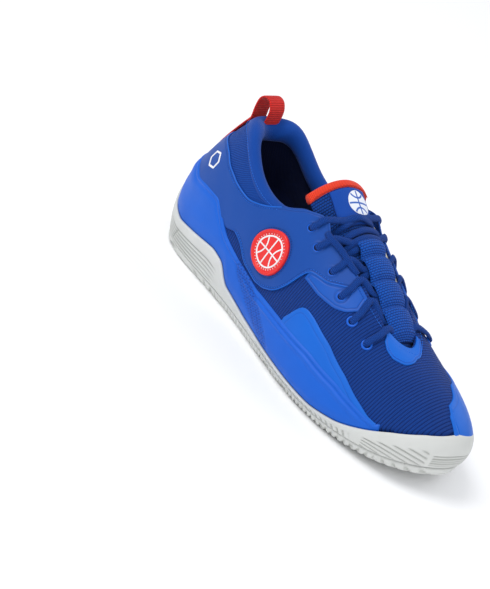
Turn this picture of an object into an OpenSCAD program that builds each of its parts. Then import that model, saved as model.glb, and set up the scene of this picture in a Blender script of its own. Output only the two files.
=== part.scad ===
// Low-cut lace-up court shoe for the right foot.
// +X points to the toe, +Y to the inner side of the foot, +Z up.
// The tread stands on z = 0 and the origin is at the middle of the outsole.

/* [Size] */
// Length of the outsole from heel to toe
shoe_length = 291; // [240:1:350]
// Width of the outsole at the ball of the foot
shoe_width = 107; // [89:1:129]
// Height of the collar edge at the back of the heel
collar_height = 106; // [92:1:128]
// How far the tip of the tread curves up
toe_spring = 13; // [6:0.5:16]

/* [Sole] */
// Thickness of the tread under the foot
tread_t = 3.6; // [2.5:0.1:4.5]
// Thickness of the outsole wall at its foot
wall_foot_t = 2.6; // [2:0.1:4]
// Thickness of the outsole wall that is let into the sidewall at its top edge
wall_lip_t = 0.8; // [0.5:0.1:1.6]
// Thickness of the moulded sidewall and heel cup
cup_t = 2.1; // [1.4:0.1:3.5]
// How far the outsole wall stands proud of the upper
wall_proud = 0.4; // [0:0.1:1.2]
// How far the heel cup stands proud of the upper
cup_proud = 0.9; // [0.7:0.1:2]
// Height of the foot bed under the heel
heel_bed = 20; // [15:0.5:24]
// Height of the foot bed above the tread under the toes
toe_bed = 11; // [8:0.5:14]
// Thickness of the board that closes the bottom of the upper
board_t = 1.2; // [0.8:0.1:2.5]
// Thickness of the insole
insole_t = 4; // [2:0.5:6]

/* [Upper] */
// Thickness of the mesh, the collar textile and the heel counter
shell_t = 1.2; // [0.8:0.1:2]
// Thickness of the lining
lining_t = 1.2; // [0.6:0.1:2]
// Thickness of the leather quarters
quarter_t = 0.8; // [0.5:0.1:1.6]
// Thickness of the film overlays and of the throat patch
overlay_t = 0.6; // [0.4:0.1:1.2]
// Thickness of the toe stiffener
puff_t = 1.2; // [0.6:0.1:1.8]
// Thickness of the collar padding
roll_t = 8; // [5:0.5:10]
// Height of the collar padding
roll_h = 12; // [8:0.5:18]
// Clearance between layers
layer_gap = 0.3; // [0.2:0.05:0.4]

/* [Closure] */
// Thickness of the tongue at its top
tongue_t = 6; // [4:0.5:8]
// Width of the lace
lace_w = 5; // [3.5:0.5:5.5]
// Thickness of the lace
lace_t = 2.6; // [1.8:0.1:3]
// Bore of an eyelet
eyelet_bore = 5.6; // [5.6:0.1:7]
// Width of the ring round an eyelet
eyelet_rim = 1.8; // [1:0.1:2.5]
// Width of the webbing down the middle of the tongue
webbing_w = 22; // [16:1:26]
// Thickness of the webbing
webbing_t = 0.9; // [0.6:0.1:1.4]

/* [Trim] */
// Diameter of the side badge
badge_d = 31; // [22:1:34]
// Thickness of the side badge
badge_t = 2.2; // [1.2:0.1:3.5]
// Height of the raised lines on the badge
badge_line_t = 0.5; // [0.3:0.1:1]
// Width of the heel pull tab
tab_w = 14; // [8:1:18]
// Thickness of the pull tab webbing
tab_t = 1.6; // [1:0.1:2]
// Height of the pull loop above its hinge
loop_h = 18; // [12:1:24]

/* [Hidden] */

// Control net of the outer surface, heel at x = 0. Each station runs from the tread edge up to
// the top line as four Bezier points. The scales below bring it to the chosen size.
lateral = [
    [[4, 0, 6], [-10, 0, 42], [8, 0, 78], [23, 0, 106]],
    [[9, -21, 6], [-4, -26, 39], [10, -19, 77], [27, -14, 107]],
    [[28, -34, 6], [24, -41, 34], [32, -33, 78], [44, -29, 112]],
    [[58, -36, 6], [58, -44, 30], [62, -40, 64], [66, -34, 92]],
    [[90, -36, 6], [90, -44, 28], [92, -42, 60], [94, -34, 84]],
    [[120, -40, 6], [120, -47, 26], [121, -44, 64], [124, -30, 97]],
    [[150, -46, 6], [150, -53, 22], [150, -47, 62], [146, -21, 95]],
    [[180, -51, 6], [180, -58, 20], [176, -49, 58], [166, -18, 87]],
    [[208, -52, 6], [208, -58, 20], [200, -47, 54], [186, -16, 79]],
    [[238, -47, 8], [238, -52, 22], [226, -39, 52], [202, -14, 71]],
    [[266, -37, 13], [268, -40, 30], [252, -27, 54], [212, -10, 66]],
    [[286, -18, 19], [292, -19, 36], [272, -12, 57], [217, -5, 64]],
    [[292, 3, 21], [300, 3, 38], [282, 3, 59], [219, 0, 63]]];
medial = [
    [[9, 21, 6], [-4, 26, 39], [10, 18, 77], [27, 13, 107]],
    [[28, 34, 6], [24, 40, 34], [32, 30, 78], [42, 25, 111]],
    [[58, 34, 6], [58, 41, 30], [62, 36, 64], [65, 30, 91]],
    [[90, 29, 6], [90, 36, 28], [92, 38, 60], [94, 33, 84]],
    [[120, 29, 6], [120, 36, 26], [121, 39, 64], [124, 29, 97]],
    [[150, 36, 6], [150, 43, 22], [150, 40, 62], [146, 21, 95]],
    [[180, 46, 6], [180, 52, 20], [176, 43, 58], [166, 18, 87]],
    [[210, 52, 6], [210, 58, 20], [200, 44, 54], [186, 16, 79]],
    [[240, 49, 8], [242, 56, 22], [230, 42, 52], [202, 14, 71]],
    [[269, 39, 13], [273, 44, 30], [259, 33, 55], [212, 10, 66]],
    [[287, 21, 19], [295, 24, 36], [279, 18, 58], [217, 5, 64]]];
toe = len(lateral) - 1;
net = concat(lateral, [for (i = [len(medial) - 1 : -1 : 0]) medial[i]]);
// Outsole length, outsole width and heel height that the net gives unscaled
drawn = [291, 107, 106];
scales = [shoe_length / drawn.x, shoe_width / drawn.y, collar_height / drawn.z];
// Middle of the unscaled outsole
drawn_middle = [146.2, -0.6];

// Heights of the edges on the surface, against the station number from heel 0 to toe 12
wall_edge = [[0, 0.33], [0.8, 0.31], [1.3, 0.2], [2, 0.19], [2.6, 0.24], [3.35, 0.31], [3.75, 0.29],
    [4.1, 0.15], [5, 0.09], [6, 0.07], [8, 0.07], [8.8, 0.13], [9.45, 0.22], [10, 0.3],
    [10.8, 0.38], [12, 0.44]];
cup_edge = [[0, 0.57], [0.9, 0.54], [1.8, 0.51], [2.3, 0.56], [2.75, 0.61], [3.1, 0.56],
    [3.5, 0.49], [4.1, 0.44], [5, 0.39], [5.8, 0.41], [7.4, 0.46], [8.45, 0.44], [9.1, 0.38],
    [9.75, 0.3], [10.4, 0.2]];
quarter_edge = [[2.9, 0.6], [3.35, 0.52], [3.62, 0.58], [3.93, 0.55], [4.3, 0.48], [4.88, 0.45],
    [5.45, 0.5], [5.8, 0.61], [5.9, 0.71], [6.05, 0.78], [6.45, 0.83], [6.83, 0.86], [7.3, 0.92]];
textile_edge = [[0, 0.78], [2, 0.78], [2.35, 0.76], [2.85, 0.76], [3.4, 0.8], [3.83, 0.88],
    [4.25, 0.97]];
film_edge_lateral = [[5.8, 0.45], [6.25, 0.51], [6.4, 0.58], [6.75, 0.62], [7.45, 0.62],
    [8.35, 0.55], [9.05, 0.46], [9.75, 0.36]];
film_edge_medial = [[6.3, 0.5], [7, 0.57], [8, 0.62], [9, 0.66], [10, 0.71], [10.8, 0.75],
    [11.4, 0.7], [12, 0.66], [12.25, 0.6]];
cup_end = 9.75;
// Clearances of the sidewall over the upper and of the outsole wall over the sidewall
cup_seat = 0.8;
wall_seat = 0.6;
// Station and height of each eyelet, top row first
eyelets = [[5.15, 0.93], [5.65, 0.89], [6.45, 0.87], [7.18, 0.85], [7.95, 0.83], [8.72, 0.8]];
badge_at = [4.77, 0.67];
emblem_at = [1.75, 0.66];
// Centre line of the tongue's face, unscaled: x, height, offset to the inner side, arch
tongue_line = [[110, 113, 4, 0.0154], [119, 108.5, 3.6, 0.0154], [125, 105.5, 3.2, 0.016],
    [140, 98.5, 2.4, 0.017], [155, 91, 1.8, 0.018], [170, 84.5, 1.4, 0.019],
    [185, 77.5, 1, 0.02], [200, 69.5, 0.6, 0.02], [212, 63, 0.3, 0.02], [222, 57.5, 0, 0.02],
    [230, 53.5, 0, 0.02]];
tongue_half_width = [[108, 23], [120, 23], [128, 21], [150, 22], [185, 18], [212, 13], [230, 9]];
tongue_hinge_x = 120;
// Half the gap between the tongue and its free end, and how fast the sides turn down in the throat
tongue_gap = 0.45;
tongue_side = [[120, 0], [130, 0.07], [230, 0.07]];
// Sides of the closed rings round the shoe
ring_n = 48;
grid = 0.5;

function clamp(x, lo, hi) = max(lo, min(hi, x));
function ease(a, b, x) = let (t = clamp((x - a) / (b - a), 0, 1)) t * t * (3 - 2 * t);
function mix(a, b, t) = a + (b - a) * t;
function unit(p) = p / norm(p);
function spline(t) = [pow(1 - t, 3), 3 * pow(t, 3) - 6 * t * t + 4,
    -3 * pow(t, 3) + 3 * t * t + 3 * t + 1, pow(t, 3)] / 6;
function station(i) = net[((i % len(net)) + len(net)) % len(net)];
// The four Bezier points of the surface at station u
function column(u) = let (i = floor(u), w = spline(u - i))
    [for (c = [0 : 3]) w[0] * station(i - 1)[c] + w[1] * station(i)[c]
        + w[2] * station(i + 1)[c] + w[3] * station(i + 2)[c]];
function bezier(c, v) = pow(1 - v, 3) * c[0] + 3 * v * pow(1 - v, 2) * c[1]
    + 3 * v * v * (1 - v) * c[2] + pow(v, 3) * c[3];
function scaled(p) = [(p.x - drawn_middle.x) * scales.x, (p.y - drawn_middle.y) * scales.y,
    p.z * scales.z];
function on(u, v) = scaled(bezier(column(u), v));
function across_u(u, v) = on(u + 0.01, v) - on(u - 0.01, v);
function across_v(u, v) = let (w = clamp(v, 0.01, 0.99)) on(u, w + 0.01) - on(u, w - 0.01);
function outward(u, v) = unit(cross(across_u(u, v), across_v(u, v)));
// The point d outside the surface
function off(u, v, d) = on(u, v) + d * outward(u, v);
// The surface height v at which a station reaches the level z
function level(u, z, lo = 0, hi = 0.6, n = 9) = n == 0 ? (lo + hi) / 2
    : let (mid = (lo + hi) / 2) on(u, mid).z < z ? level(u, z, mid, hi, n - 1)
    : level(u, z, lo, mid, n - 1);

function wall_v(u) = lookup(abs(u), wall_edge);
function cup_v(u) = lookup(abs(u), cup_edge);
function cup_top(u) = max(cup_v(u), wall_v(u) + 0.07);
// Depth to which the outsole wall and the sidewall push the layers under them inwards
function wall_depth(u, v) = let (w = wall_v(u))
    (wall_lip_t + layer_gap) * (1 - ease(w + 0.01, w + 0.03, v))
    + (wall_foot_t - wall_lip_t) * (1 - ease(w - 0.12, w, v));
function cup_depth(u, v) = let (c = abs(u) < cup_end + 0.3 ? cup_top(u) : cup_v(u))
    (cup_t + layer_gap) * (1 - ease(c - 0.1, c - 0.01, v));
function shell_face(u, v) = -wall_depth(u, v) - cup_depth(u, v);
function shell_back(u, v) = shell_face(u, v) - shell_t;
// Clearance outside and inside the toe stiffener together
puff_seat = 1.2;
function puff_zone(u, v) = ease(8.9, 9.5, abs(u)) * (1 - ease(0.66, 0.74, v));
function lining_face(u, v) = shell_back(u, v) - layer_gap - (puff_t + puff_seat) * puff_zone(u, v);
function lining_back(u, v) = lining_face(u, v) - lining_t;

// Height of the underside of the tread, of its inner floor and of the foot bed
spring_start = 55 * scales.x;
function ground(x) = toe_spring * pow(max(0, x - spring_start) / (shoe_length / 2 - spring_start), 2)
    + 2.5 * pow(max(0, 12 - shoe_length / 2 - x) / 12, 2);
function bed(x) = ground(x) + mix(heel_bed, toe_bed, ease(-90 * scales.x, 45 * scales.x, x));

function ring_u(n = ring_n) = [for (j = [0 : n - 1]) -toe + (j + 0.5) * 2 * toe / n];
function grid_u(a, b, step = grid) = concat([a], [for (k = [ceil(a / step) - 1 : floor(b / step)])
    let (u = (k + 0.5) * step) if (u > a + 0.1 && u < b - 0.1) u], [b]);
// Heights v from a bottom edge over the folds at the wall and the cup to a top edge
function folds(u, from, to, n) = let (w = wall_v(u), c = cup_top(u),
    b0 = from, b1 = max(b0 + 0.01, w - 0.12), b2 = max(b1 + 0.005, w + 0.01),
    b3 = max(b2 + 0.005, w + 0.03), b5 = max(b3 + 0.01, c - 0.1), b4 = (b3 + b5) / 2,
    b6 = max(b5 + 0.01, c - 0.01))
    concat([b0, b1, b2, b3, b4, b5, b6], n == 0 ? [] : [for (k = [1 : n]) mix(b6, to, k / n)]);
function evenly(from, to, n) = [for (k = [0 : n]) mix(from, to, k / n)];
function toward_spine(u, p, f) = let (q = (on(u, 0) + on(-u, 0)) / 2)
    [mix(clamp(p.x, -118 * scales.x, 108 * scales.x), p.x, f), mix(q.y, p.y, f), p.z];
function at_height(p, z) = [p.x, p.y, z];

// Solid through equal closed loops. Point j of a loop faces point m - 1 - j across the loop.
module skin(loops, closed = false) {
    m = len(loops[0]);
    n = len(loops);
    sides = [for (i = [0 : n - (closed ? 1 : 2)], j = [0 : m - 1])
        let (a = i * m, b = ((i + 1) % n) * m, k = (j + 1) % m)
        each [[a + j, b + j, b + k], [a + j, b + k, a + k]]];
    first = [for (j = [0 : m / 2 - 2]) each [[j, j + 1, m - 2 - j], [j, m - 2 - j, m - 1 - j]]];
    e = (n - 1) * m;
    last = [for (j = [0 : m / 2 - 2])
        each [[e + j, e + m - 2 - j, e + j + 1], [e + j, e + m - 1 - j, e + m - 2 - j]]];
    polyhedron([for (l = loops) each l], closed ? sides : concat(sides, first, last), convexity = 6);
}

// Layer of the upper between two depths, given as a list of loops, one at each station
function layer_loop(face, back) = concat(face, [for (i = [len(back) - 1 : -1 : 0]) back[i]]);

// Clearance under the panels that lie on the shell
panel_lift = layer_gap + 0.4;
// Panel on the shell between two heights, lifted clear of it
module overlay(stations, low, high, lift, t, n = 5) {
    skin([for (u = stations) let (vs = evenly(low(u), high(u), n))
        layer_loop([for (v = vs) off(u, v, lift + t)], [for (v = vs) off(u, v, lift)])]);
}

// Position [station, height] that lies a across and b up from a place on the surface, in mm
function spot(at, a, b) = let (su = across_u(at[0], at[1]) / 0.02, sv = across_v(at[0], at[1]) / 0.02,
    up = unit(sv), along = cross(up, outward(at[0], at[1])), du = a / (su * along))
    [at[0] + du, at[1] + (b - du * (su * up)) / norm(sv)];
// Disc on the surface: rings of radius r and lift h in [r, h] pairs, from the middle out and back
module patch(at, rings, n = 32) {
    skin([for (q = rings) [for (j = [0 : n - 1]) let (s = spot(at, q[0] * cos((j + 0.5) * 360 / n),
        q[0] * sin((j + 0.5) * 360 / n))) off(s[0], s[1], q[1])]]);
}
// Raised line on the surface through points given in mm from a place
module surface_line(at, points, lift, w, t) {
    n = len(points);
    spots = [for (p = points) spot(at, p.x, p.y)];
    base = [for (s = spots) off(s[0], s[1], lift)];
    skin([for (i = [0 : n - 1]) let (s = spots[i], up = outward(s[0], s[1]),
        side = unit(cross(base[min(i + 1, n - 1)] - base[max(i - 1, 0)], up)) * w / 2, p = base[i])
        [p - side, p - side + up * t, p + side + up * t, p + side]]);
}

// Tongue: scaled centre line value, face point at x and y, lifted by h
function tongue_value(x, c) = lookup(x, [for (r = tongue_line) [r.x, r[c]]]);
tongue_up = unit([0.42, 0, 0.91]);
function tongue(x, y, h) = scaled([x, y + tongue_value(x, 2),
    tongue_value(x, 1) - tongue_value(x, 3) * y * y
        - lookup(x, tongue_side) * pow(max(0, abs(y) - 13), 2)]) + h * tongue_up;
function tongue_loop(x, lift, t, w, n = 8) = concat(
    [for (k = [0 : n]) let (s = 2 * k / n - 1) tongue(x, s * w, lift + t * (1 - 0.35 * pow(s, 4)))],
    [for (k = [n : -1 : 0]) tongue(x, (2 * k / n - 1) * w, lift)]);
function tongue_depth(x) = mix(tongue_t, 2.5, ease(120, 225, x));
module tongue_slab(xs) {
    skin([for (x = xs) let (d = tongue_depth(x), w = lookup(x, tongue_half_width))
        concat([for (k = [0 : 8]) tongue(x, (k / 4 - 1) * w, 0)],
            [for (k = [8 : -1 : 0]) tongue(x, (k / 4 - 1) * w, -d * (1 - 0.5 * pow(k / 4 - 1, 4)))])]);
}

// Cord of oval section along a route; `up` holds the direction of its thin side at each point
module cord(route, up, w, t) {
    n = len(route);
    skin([for (i = [0 : n - 1]) let (run = unit(route[min(i + 1, n - 1)] - route[max(i - 1, 0)]),
        side = unit(cross(run, up[i])), lift = cross(side, run))
        [for (j = [0 : 7]) let (a = (j + 0.5) * 45)
            route[i] + side * cos(a) * w / 2 + lift * sin(a) * t / 2]]);
}

module outsole() {
    us = ring_u();
    color("ivory") skin([
        [for (u = us) let (p = toward_spine(u, on(u, 0), 0.5)) at_height(p, ground(p.x))],
        [for (u = us) let (p = toward_spine(u, on(u, 0), 0.9)) at_height(p, ground(p.x))],
        [for (u = us) off(u, 0, 0)],
        [for (u = us) off(u, wall_v(u) / 2, wall_proud)],
        [for (u = us) off(u, wall_v(u), wall_proud)],
        [for (u = us) off(u, wall_v(u), wall_seat - wall_depth(u, wall_v(u)))],
        [for (u = us) let (v = max(0.03, wall_v(u) - 0.12)) off(u, v, wall_seat - wall_depth(u, v))],
        [for (u = us) let (p = off(u, 0, wall_seat - wall_depth(u, 0)))
            at_height(p, ground(p.x) + tread_t)],
        [for (u = us) let (p = toward_spine(u, on(u, 0), 0.5)) at_height(p, ground(p.x) + tread_t)]]);
}

function bed_v(u) = level(u, bed(on(u, 0.1).x));
function core_face(u, v) = shell_face(u, v) - 3 * layer_gap;
module midsole_core() {
    us = ring_u();
    color("white") skin([
        [for (u = us) let (p = toward_spine(u, on(u, 0), 0.5))
            at_height(p, ground(p.x) + tread_t + layer_gap)],
        [for (u = us) let (p = off(u, 0, core_face(u, 0)))
            at_height(p, ground(p.x) + tread_t + layer_gap)],
        for (f = [0.3, 0.65]) [for (u = us) let (v = f * bed_v(u), p = off(u, v, core_face(u, v)),
            rim = off(u, bed_v(u), core_face(u, bed_v(u))))
            at_height(p, min(p.z, bed(rim.x) - 2 * (1 - f)))],
        [for (u = us) let (v = bed_v(u), p = off(u, v, core_face(u, v))) at_height(p, bed(p.x))],
        [for (u = us) let (p = toward_spine(u, on(u, 0), 0.5)) at_height(p, bed(p.x))]]);
}

module sidewall_cup() {
    color("dodgerblue") skin([for (u = grid_u(-cup_end, cup_end))
        let (vs = concat(folds(u, 0.02, 0, 0), [cup_top(u)]))
        layer_loop([for (v = vs) off(u, v, cup_proud * ease(wall_v(u), wall_v(u) + 0.03, v)
                - wall_depth(u, v))],
            [for (v = vs) off(u, v, shell_face(u, v) + cup_seat)])]);
}

// Flat layer on the foot bed, out to the lining
bed_clearance = 2.4;
module bed_layer(lift, t) {
    us = ring_u();
    skin([for (q = [[0.5, 0], [1, 0], [1, t / 2], [1, t], [0.5, t]])
        [for (u = us) let (v = level(u, bed(on(u, 0.1).x) + lift + q[1]),
            edge = off(u, v, lining_back(u, v) - bed_clearance), p = toward_spine(u, edge, q[0]))
            at_height(p, bed(p.x) + lift + q[1])]]);
}

module strobel_board() {
    color("gainsboro") bed_layer(layer_gap, board_t);
}

module insole() {
    color("midnightblue") bed_layer(2 * layer_gap + board_t, insole_t);
}

// Bottom edge of the upper, just above the foot bed
function bottom_v(u) = level(u, bed(on(u, 0.1).x) + layer_gap + 0.2);
// Stations of a layer that runs round the toe, from a station on the outer side to the inner one
function round_toe(a) = [for (u = grid_u(a, 2 * toe - a)) u > toe ? u - 2 * toe : u];
heel_split = 2.9;

module shell_layer(stations, bottom, top, face, t, n) {
    skin([for (u = stations) let (vs = folds(u, bottom(u), top(u), n))
        layer_loop([for (v = vs) off(u, v, face(u, v))], [for (v = vs) off(u, v, face(u, v) - t)])]);
}

module upper_mesh() {
    color("mediumblue") shell_layer(round_toe(heel_split + 0.1), function(u) bottom_v(u),
        function(u) abs(u) < 4.3 ? lookup(abs(u), textile_edge) - 0.02 : 0.985,
        function(u, v) shell_face(u, v), shell_t, 10);
}

module toe_puff() {
    color("dimgray") skin([for (u = round_toe(9.75))
        let (vs = folds(u, bottom_v(u), 0.61, 3))
        layer_loop([for (v = vs) off(u, v, shell_back(u, v) - puff_seat * 0.6)],
            [for (v = vs) off(u, v, shell_back(u, v) - puff_seat * 0.6 - puff_t)])]);
}

module heel_counter() {
    color("dimgray") shell_layer(grid_u(-heel_split, heel_split), function(u) bottom_v(u),
        function(u) lookup(abs(u), textile_edge) - 0.02, function(u, v) shell_face(u, v), shell_t, 3);
}

lining_split = 4.9;
foam_low = 0.83;
module vamp_lining() {
    color("darkblue") shell_layer(round_toe(lining_split + 0.05), function(u) bottom_v(u),
        function(u) abs(u) < 9.3 ? foam_low : 0.95, function(u, v) lining_face(u, v), lining_t, 5);
}

module heel_lining() {
    color("darkblue") shell_layer(grid_u(-lining_split, lining_split), function(u) bottom_v(u),
        function(u) 0.86, function(u, v) lining_face(u, v), lining_t, 5);
}

module collar_textile() {
    color("royalblue") overlay(grid_u(-4.25, 4.25), function(u) lookup(abs(u), textile_edge),
        function(u) 0.995, -shell_t, shell_t, 4);
}

module collar_roll() {
    color("blue") skin([for (u = grid_u(-4.6, 4.6))
        let (n = outward(u, 0.97), w = unit(across_v(u, 0.97)),
            k = mix(0.55, 1, 1 - ease(3.9, 4.6, abs(u))),
            c = on(u, 1) - n * (shell_t + layer_gap + roll_t * k / 2) - w * (roll_h * 0.42 * k))
        [for (j = [0 : 11]) let (a = (j + 0.5) * 30) c + n * cos(a) * roll_t * k / 2
            + w * sin(a) * roll_h * k / 2]]);
}

// Half of the leather quarter, from behind the heel piece to the fourth eyelet
quarter_end = 7.3;
module quarter(side) {
    us = grid_u(heel_split + 0.05, quarter_end, grid / 2);
    overlay([for (u = side > 0 ? us : [for (i = [len(us) - 1 : -1 : 0]) -us[i]]) u],
        function(u) max(lookup(abs(u), quarter_edge), abs(u) < 3.6 ? cup_v(u) + 0.01 : 0),
        function(u) abs(u) < 4.25 ? lookup(abs(u), textile_edge) + 0.03 * ease(2, 3, abs(u)) : 0.985,
        panel_lift, quarter_t, 10);
}

module quarter_lateral() {
    color("royalblue") quarter(1);
}

module quarter_medial() {
    color("royalblue") quarter(-1);
}

module quarter_heel() {
    color("royalblue") overlay(grid_u(-heel_split, heel_split), function(u) cup_v(u) + 0.012,
        function(u) lookup(abs(u), textile_edge) + 0.03, panel_lift, quarter_t, 5);
}

film_us = [6.3, 6.7, 7.1, 7.45, 7.75];
module eyestay_film(side) {
    overlay([for (i = [0 : 4]) side > 0 ? film_us[i] : -film_us[4 - i]],
        function(u) lookup(abs(u), [[6.3, 0.76], [7.1, 0.77], [7.45, 0.79], [7.75, 0.86]]),
        function(u) abs(u) < quarter_end + 0.1 ? lookup(abs(u), quarter_edge) - 0.025 : 0.97,
        panel_lift, overlay_t, 3);
}

module eyestay_film_lateral() {
    color("dodgerblue") eyestay_film(1);
}

module eyestay_film_medial() {
    color("dodgerblue") eyestay_film(-1);
}

function film_low(u) = (abs(u) < cup_end + 0.3 ? cup_top(u) : wall_v(u)) + 0.018;
module forefoot_film_lateral() {
    color("dodgerblue") overlay(grid_u(6, 9.6), function(u) film_low(u),
        function(u) max(film_low(u) + 0.02, lookup(u, film_edge_lateral)), panel_lift, overlay_t, 4);
}

module forefoot_film_medial() {
    color("dodgerblue") overlay([for (u = grid_u(11.8, 2 * toe - 6.4)) u > toe ? u - 2 * toe : u],
        function(u) film_low(u), function(u) u > 0 ? mix(0.58, 0.66, ease(11.8, 12, u))
            : max(film_low(u) + 0.02, lookup(-u, film_edge_medial)), panel_lift, overlay_t, 6);
}

patch_low = [[9.8, 0.92], [9.95, 0.87], [10.3, 0.83], [11.2, 0.8], [12, 0.79]];
module throat_patch() {
    color("dodgerblue") overlay([for (u = grid_u(9.8, 2 * toe - 9.8)) u > toe ? u - 2 * toe : u],
        function(u) lookup(abs(u), patch_low), function(u) 0.985, panel_lift, overlay_t, 3);
}

module throat_foam(side) {
    us = grid_u(5.1, 9.2);
    overlay([for (i = [0 : len(us) - 1]) side > 0 ? us[i] : -us[len(us) - 1 - i]],
        function(u) foam_low + 0.01, function(u) 0.995, -shell_t - panel_lift - lining_t, lining_t, 2);
}

module throat_foam_lateral() {
    color("ghostwhite") throat_foam(1);
}

module throat_foam_medial() {
    color("ghostwhite") throat_foam(-1);
}

// Height on which an eyelet sits, which depends on the panel under it
function eyelet_seat(k) = k < 3 ? panel_lift + quarter_t : k == 3 ? panel_lift + overlay_t : 0;
eyelet_h = 0.8;
eyelet_lift = 0.6;
module eyelet_row(side) {
    for (k = [0 : len(eyelets) - 1]) {
        u = side * eyelets[k][0];
        v = eyelets[k][1];
        n = outward(u, v);
        translate(off(u, v, eyelet_seat(k) + eyelet_lift))
            rotate([0, acos(n.z), atan2(n.y, n.x)])
                rotate_extrude($fn = 48)
                    translate([eyelet_bore / 2, 0])
                        square([eyelet_rim, eyelet_h]);
    }
}

module eyelets_lateral() {
    color("navy") eyelet_row(1);
}

module eyelets_medial() {
    color("navy") eyelet_row(-1);
}

module tongue_body() {
    color("navy") tongue_slab([tongue_hinge_x + tongue_gap, 126, 132, 145, 158, 171, 184, 197, 210, 222]);
}

module tongue_flap() {
    color("navy") tongue_slab([110.5, 115, tongue_hinge_x - tongue_gap]);
}

module tongue_binding() {
    w = 22;
    color("orangered") skin([for (k = [0 : 12]) let (s = k / 6 - 1, y = s * w, d = tongue_t)
        [tongue(110, y, 0.9), tongue(106.5, y, 0.4), tongue(106.5, y, -d - 0.4), tongue(110, y, -d - 0.9)]]);
}

module tongue_label() {
    color("blue") skin([for (x = [111.5, 115, tongue_hinge_x - 1.5]) tongue_loop(x, layer_gap, 0.9, 16)]);
}

// Bands of webbing over the lace crossings, sewn down between them
function row_x(k) = on(eyelets[k][0], eyelets[k][1]).x / scales.x + drawn_middle.x;
rows = len(eyelets) - 1;
module tongue_webbing() {
    high = 7.8 + lace_t / 2 + layer_gap;
    bands = [[0, 2], [2, 3], [3, 4], [4, 5]];
    xs = concat([for (b = bands) let (from = row_x(b[0]) - 1.6, to = row_x(b[1]) - 4)
        each [from - 1, from, (from + to) / 2, to]], [row_x(rows) - 3]);
    hs = concat([for (b = bands) each [layer_gap, high, high, high]], [layer_gap]);
    color("dodgerblue") skin([for (i = [0 : len(xs) - 1]) concat(
        [for (j = [0 : 4]) tongue(xs[i], (j / 2 - 1) * webbing_w / 2, hs[i] + webbing_t)],
        [for (j = [4 : -1 : 0]) tongue(xs[i], (j / 2 - 1) * webbing_w / 2, hs[i])])]);
}

// Face of the tongue at y from the middle of the shoe
function throat_at(x, y, h) = tongue(x, y - tongue_value(x, 2), h);
// Straight run of lace between the front eyelets
module front_bar() {
    e = eyelets[rows];
    seat = eyelet_seat(rows) + eyelet_lift + eyelet_h + 2 * layer_gap + lace_t / 2;
    half = [[e[0], e[1], seat], [e[0] + 0.3, mix(e[1], 1, 0.5), seat],
        [e[0] + 0.7, 0.99, seat - eyelet_h]];
    mid = [for (y = [-5, 0, 5]) throat_at(212.5, y, 3)];
    cord(concat([for (p = half) off(p[0], p[1], p[2])], mid,
        [for (i = [2 : -1 : 0]) off(-half[i][0], half[i][1], half[i][2])]),
        concat([for (p = half) outward(p[0], p[1])], [for (m = mid) tongue_up],
        [for (i = [2 : -1 : 0]) outward(-half[i][0], half[i][1])]), lace_w, lace_t);
}

// One crossing: over the throat edge from an eyelet on one side, under the edge on the other
module crossing(k, side, mid_h) {
    u = side * eyelets[k][0];
    v = eyelets[k][1];
    x = row_x(k);
    pitch = row_x(k + 1) - x;
    seat = eyelet_seat(k) + eyelet_lift + eyelet_h + 2 * layer_gap + lace_t / 2;
    y = -side;
    start = [off(u, v, seat), off(u, mix(v, 1, 0.45), seat), off(u, 1, seat - eyelet_h)];
    route = concat(start, [throat_at(x + 0.35 * pitch, y * 11, mix(2, mid_h, 0.4)),
        throat_at(x + pitch / 2, 0, mid_h), throat_at(x + 0.64 * pitch, -y * 9.5, 2),
        throat_at(x + 0.67 * pitch, -y * 12, 1.9)]);
    cord(route, concat([outward(u, v), outward(u, mix(v, 1, 0.5)), outward(u, 0.95)],
        [for (i = [0 : 3]) tongue_up]), lace_w, lace_t);
}

module lace() {
    color("blue") {
        for (k = [0 : rows - 1]) {
            crossing(k, 1, 5.2);
            crossing(k, -1, 2);
        }
        front_bar();
    }
}

badge_seat = panel_lift + quarter_t + layer_gap;
module badge_disc() {
    r = badge_d / 2;
    h = badge_seat;
    color("red") patch(badge_at, [[r * 0.1, h], [r * 0.55, h], [r, h], [r, h + badge_t],
        [r * 0.86, h + badge_t], [r * 0.82, h + badge_t - 0.6], [r * 0.45, h + badge_t - 0.6],
        [r * 0.1, h + badge_t - 0.6]]);
}

module badge_lines() {
    r = badge_d / 2 * 0.7;
    h = badge_seat + badge_t - 0.6 + layer_gap;
    w = 1;
    color("white") {
        difference() {
            patch(badge_at, [[r * 0.1, h], [r * 0.5, h], [r, h], [r, h + badge_line_t],
                [r * 0.5, h + badge_line_t], [r * 0.1, h + badge_line_t]]);
            patch(badge_at, [[r * 0.1, h - 1], [r * 0.5, h - 1], [r - w, h - 1], [r - w, h + 2],
                [r * 0.5, h + 2], [r * 0.1, h + 2]]);
        }
        for (a = [0, 90]) surface_line(badge_at, [for (i = [-4 : 4])
            i / 4 * (r - w / 2) * [cos(a), sin(a)]], h, w, badge_line_t);
        for (s = [-1, 1]) surface_line(badge_at, [for (i = [-4 : 4])
            [s * (r * 0.42 + r * 0.3 * pow(i / 4, 2)), i / 4 * r * 0.68]], h, w, badge_line_t);
    }
}

module heel_emblem() {
    h = panel_lift + quarter_t + layer_gap;
    color("white") for (k = [0 : 5]) surface_line(emblem_at, [for (s = [0, 1])
        6 * [cos(60 * (k + s) + 30), sin(60 * (k + s) + 30)]], h, 1.4, 0.4);
}

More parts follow.
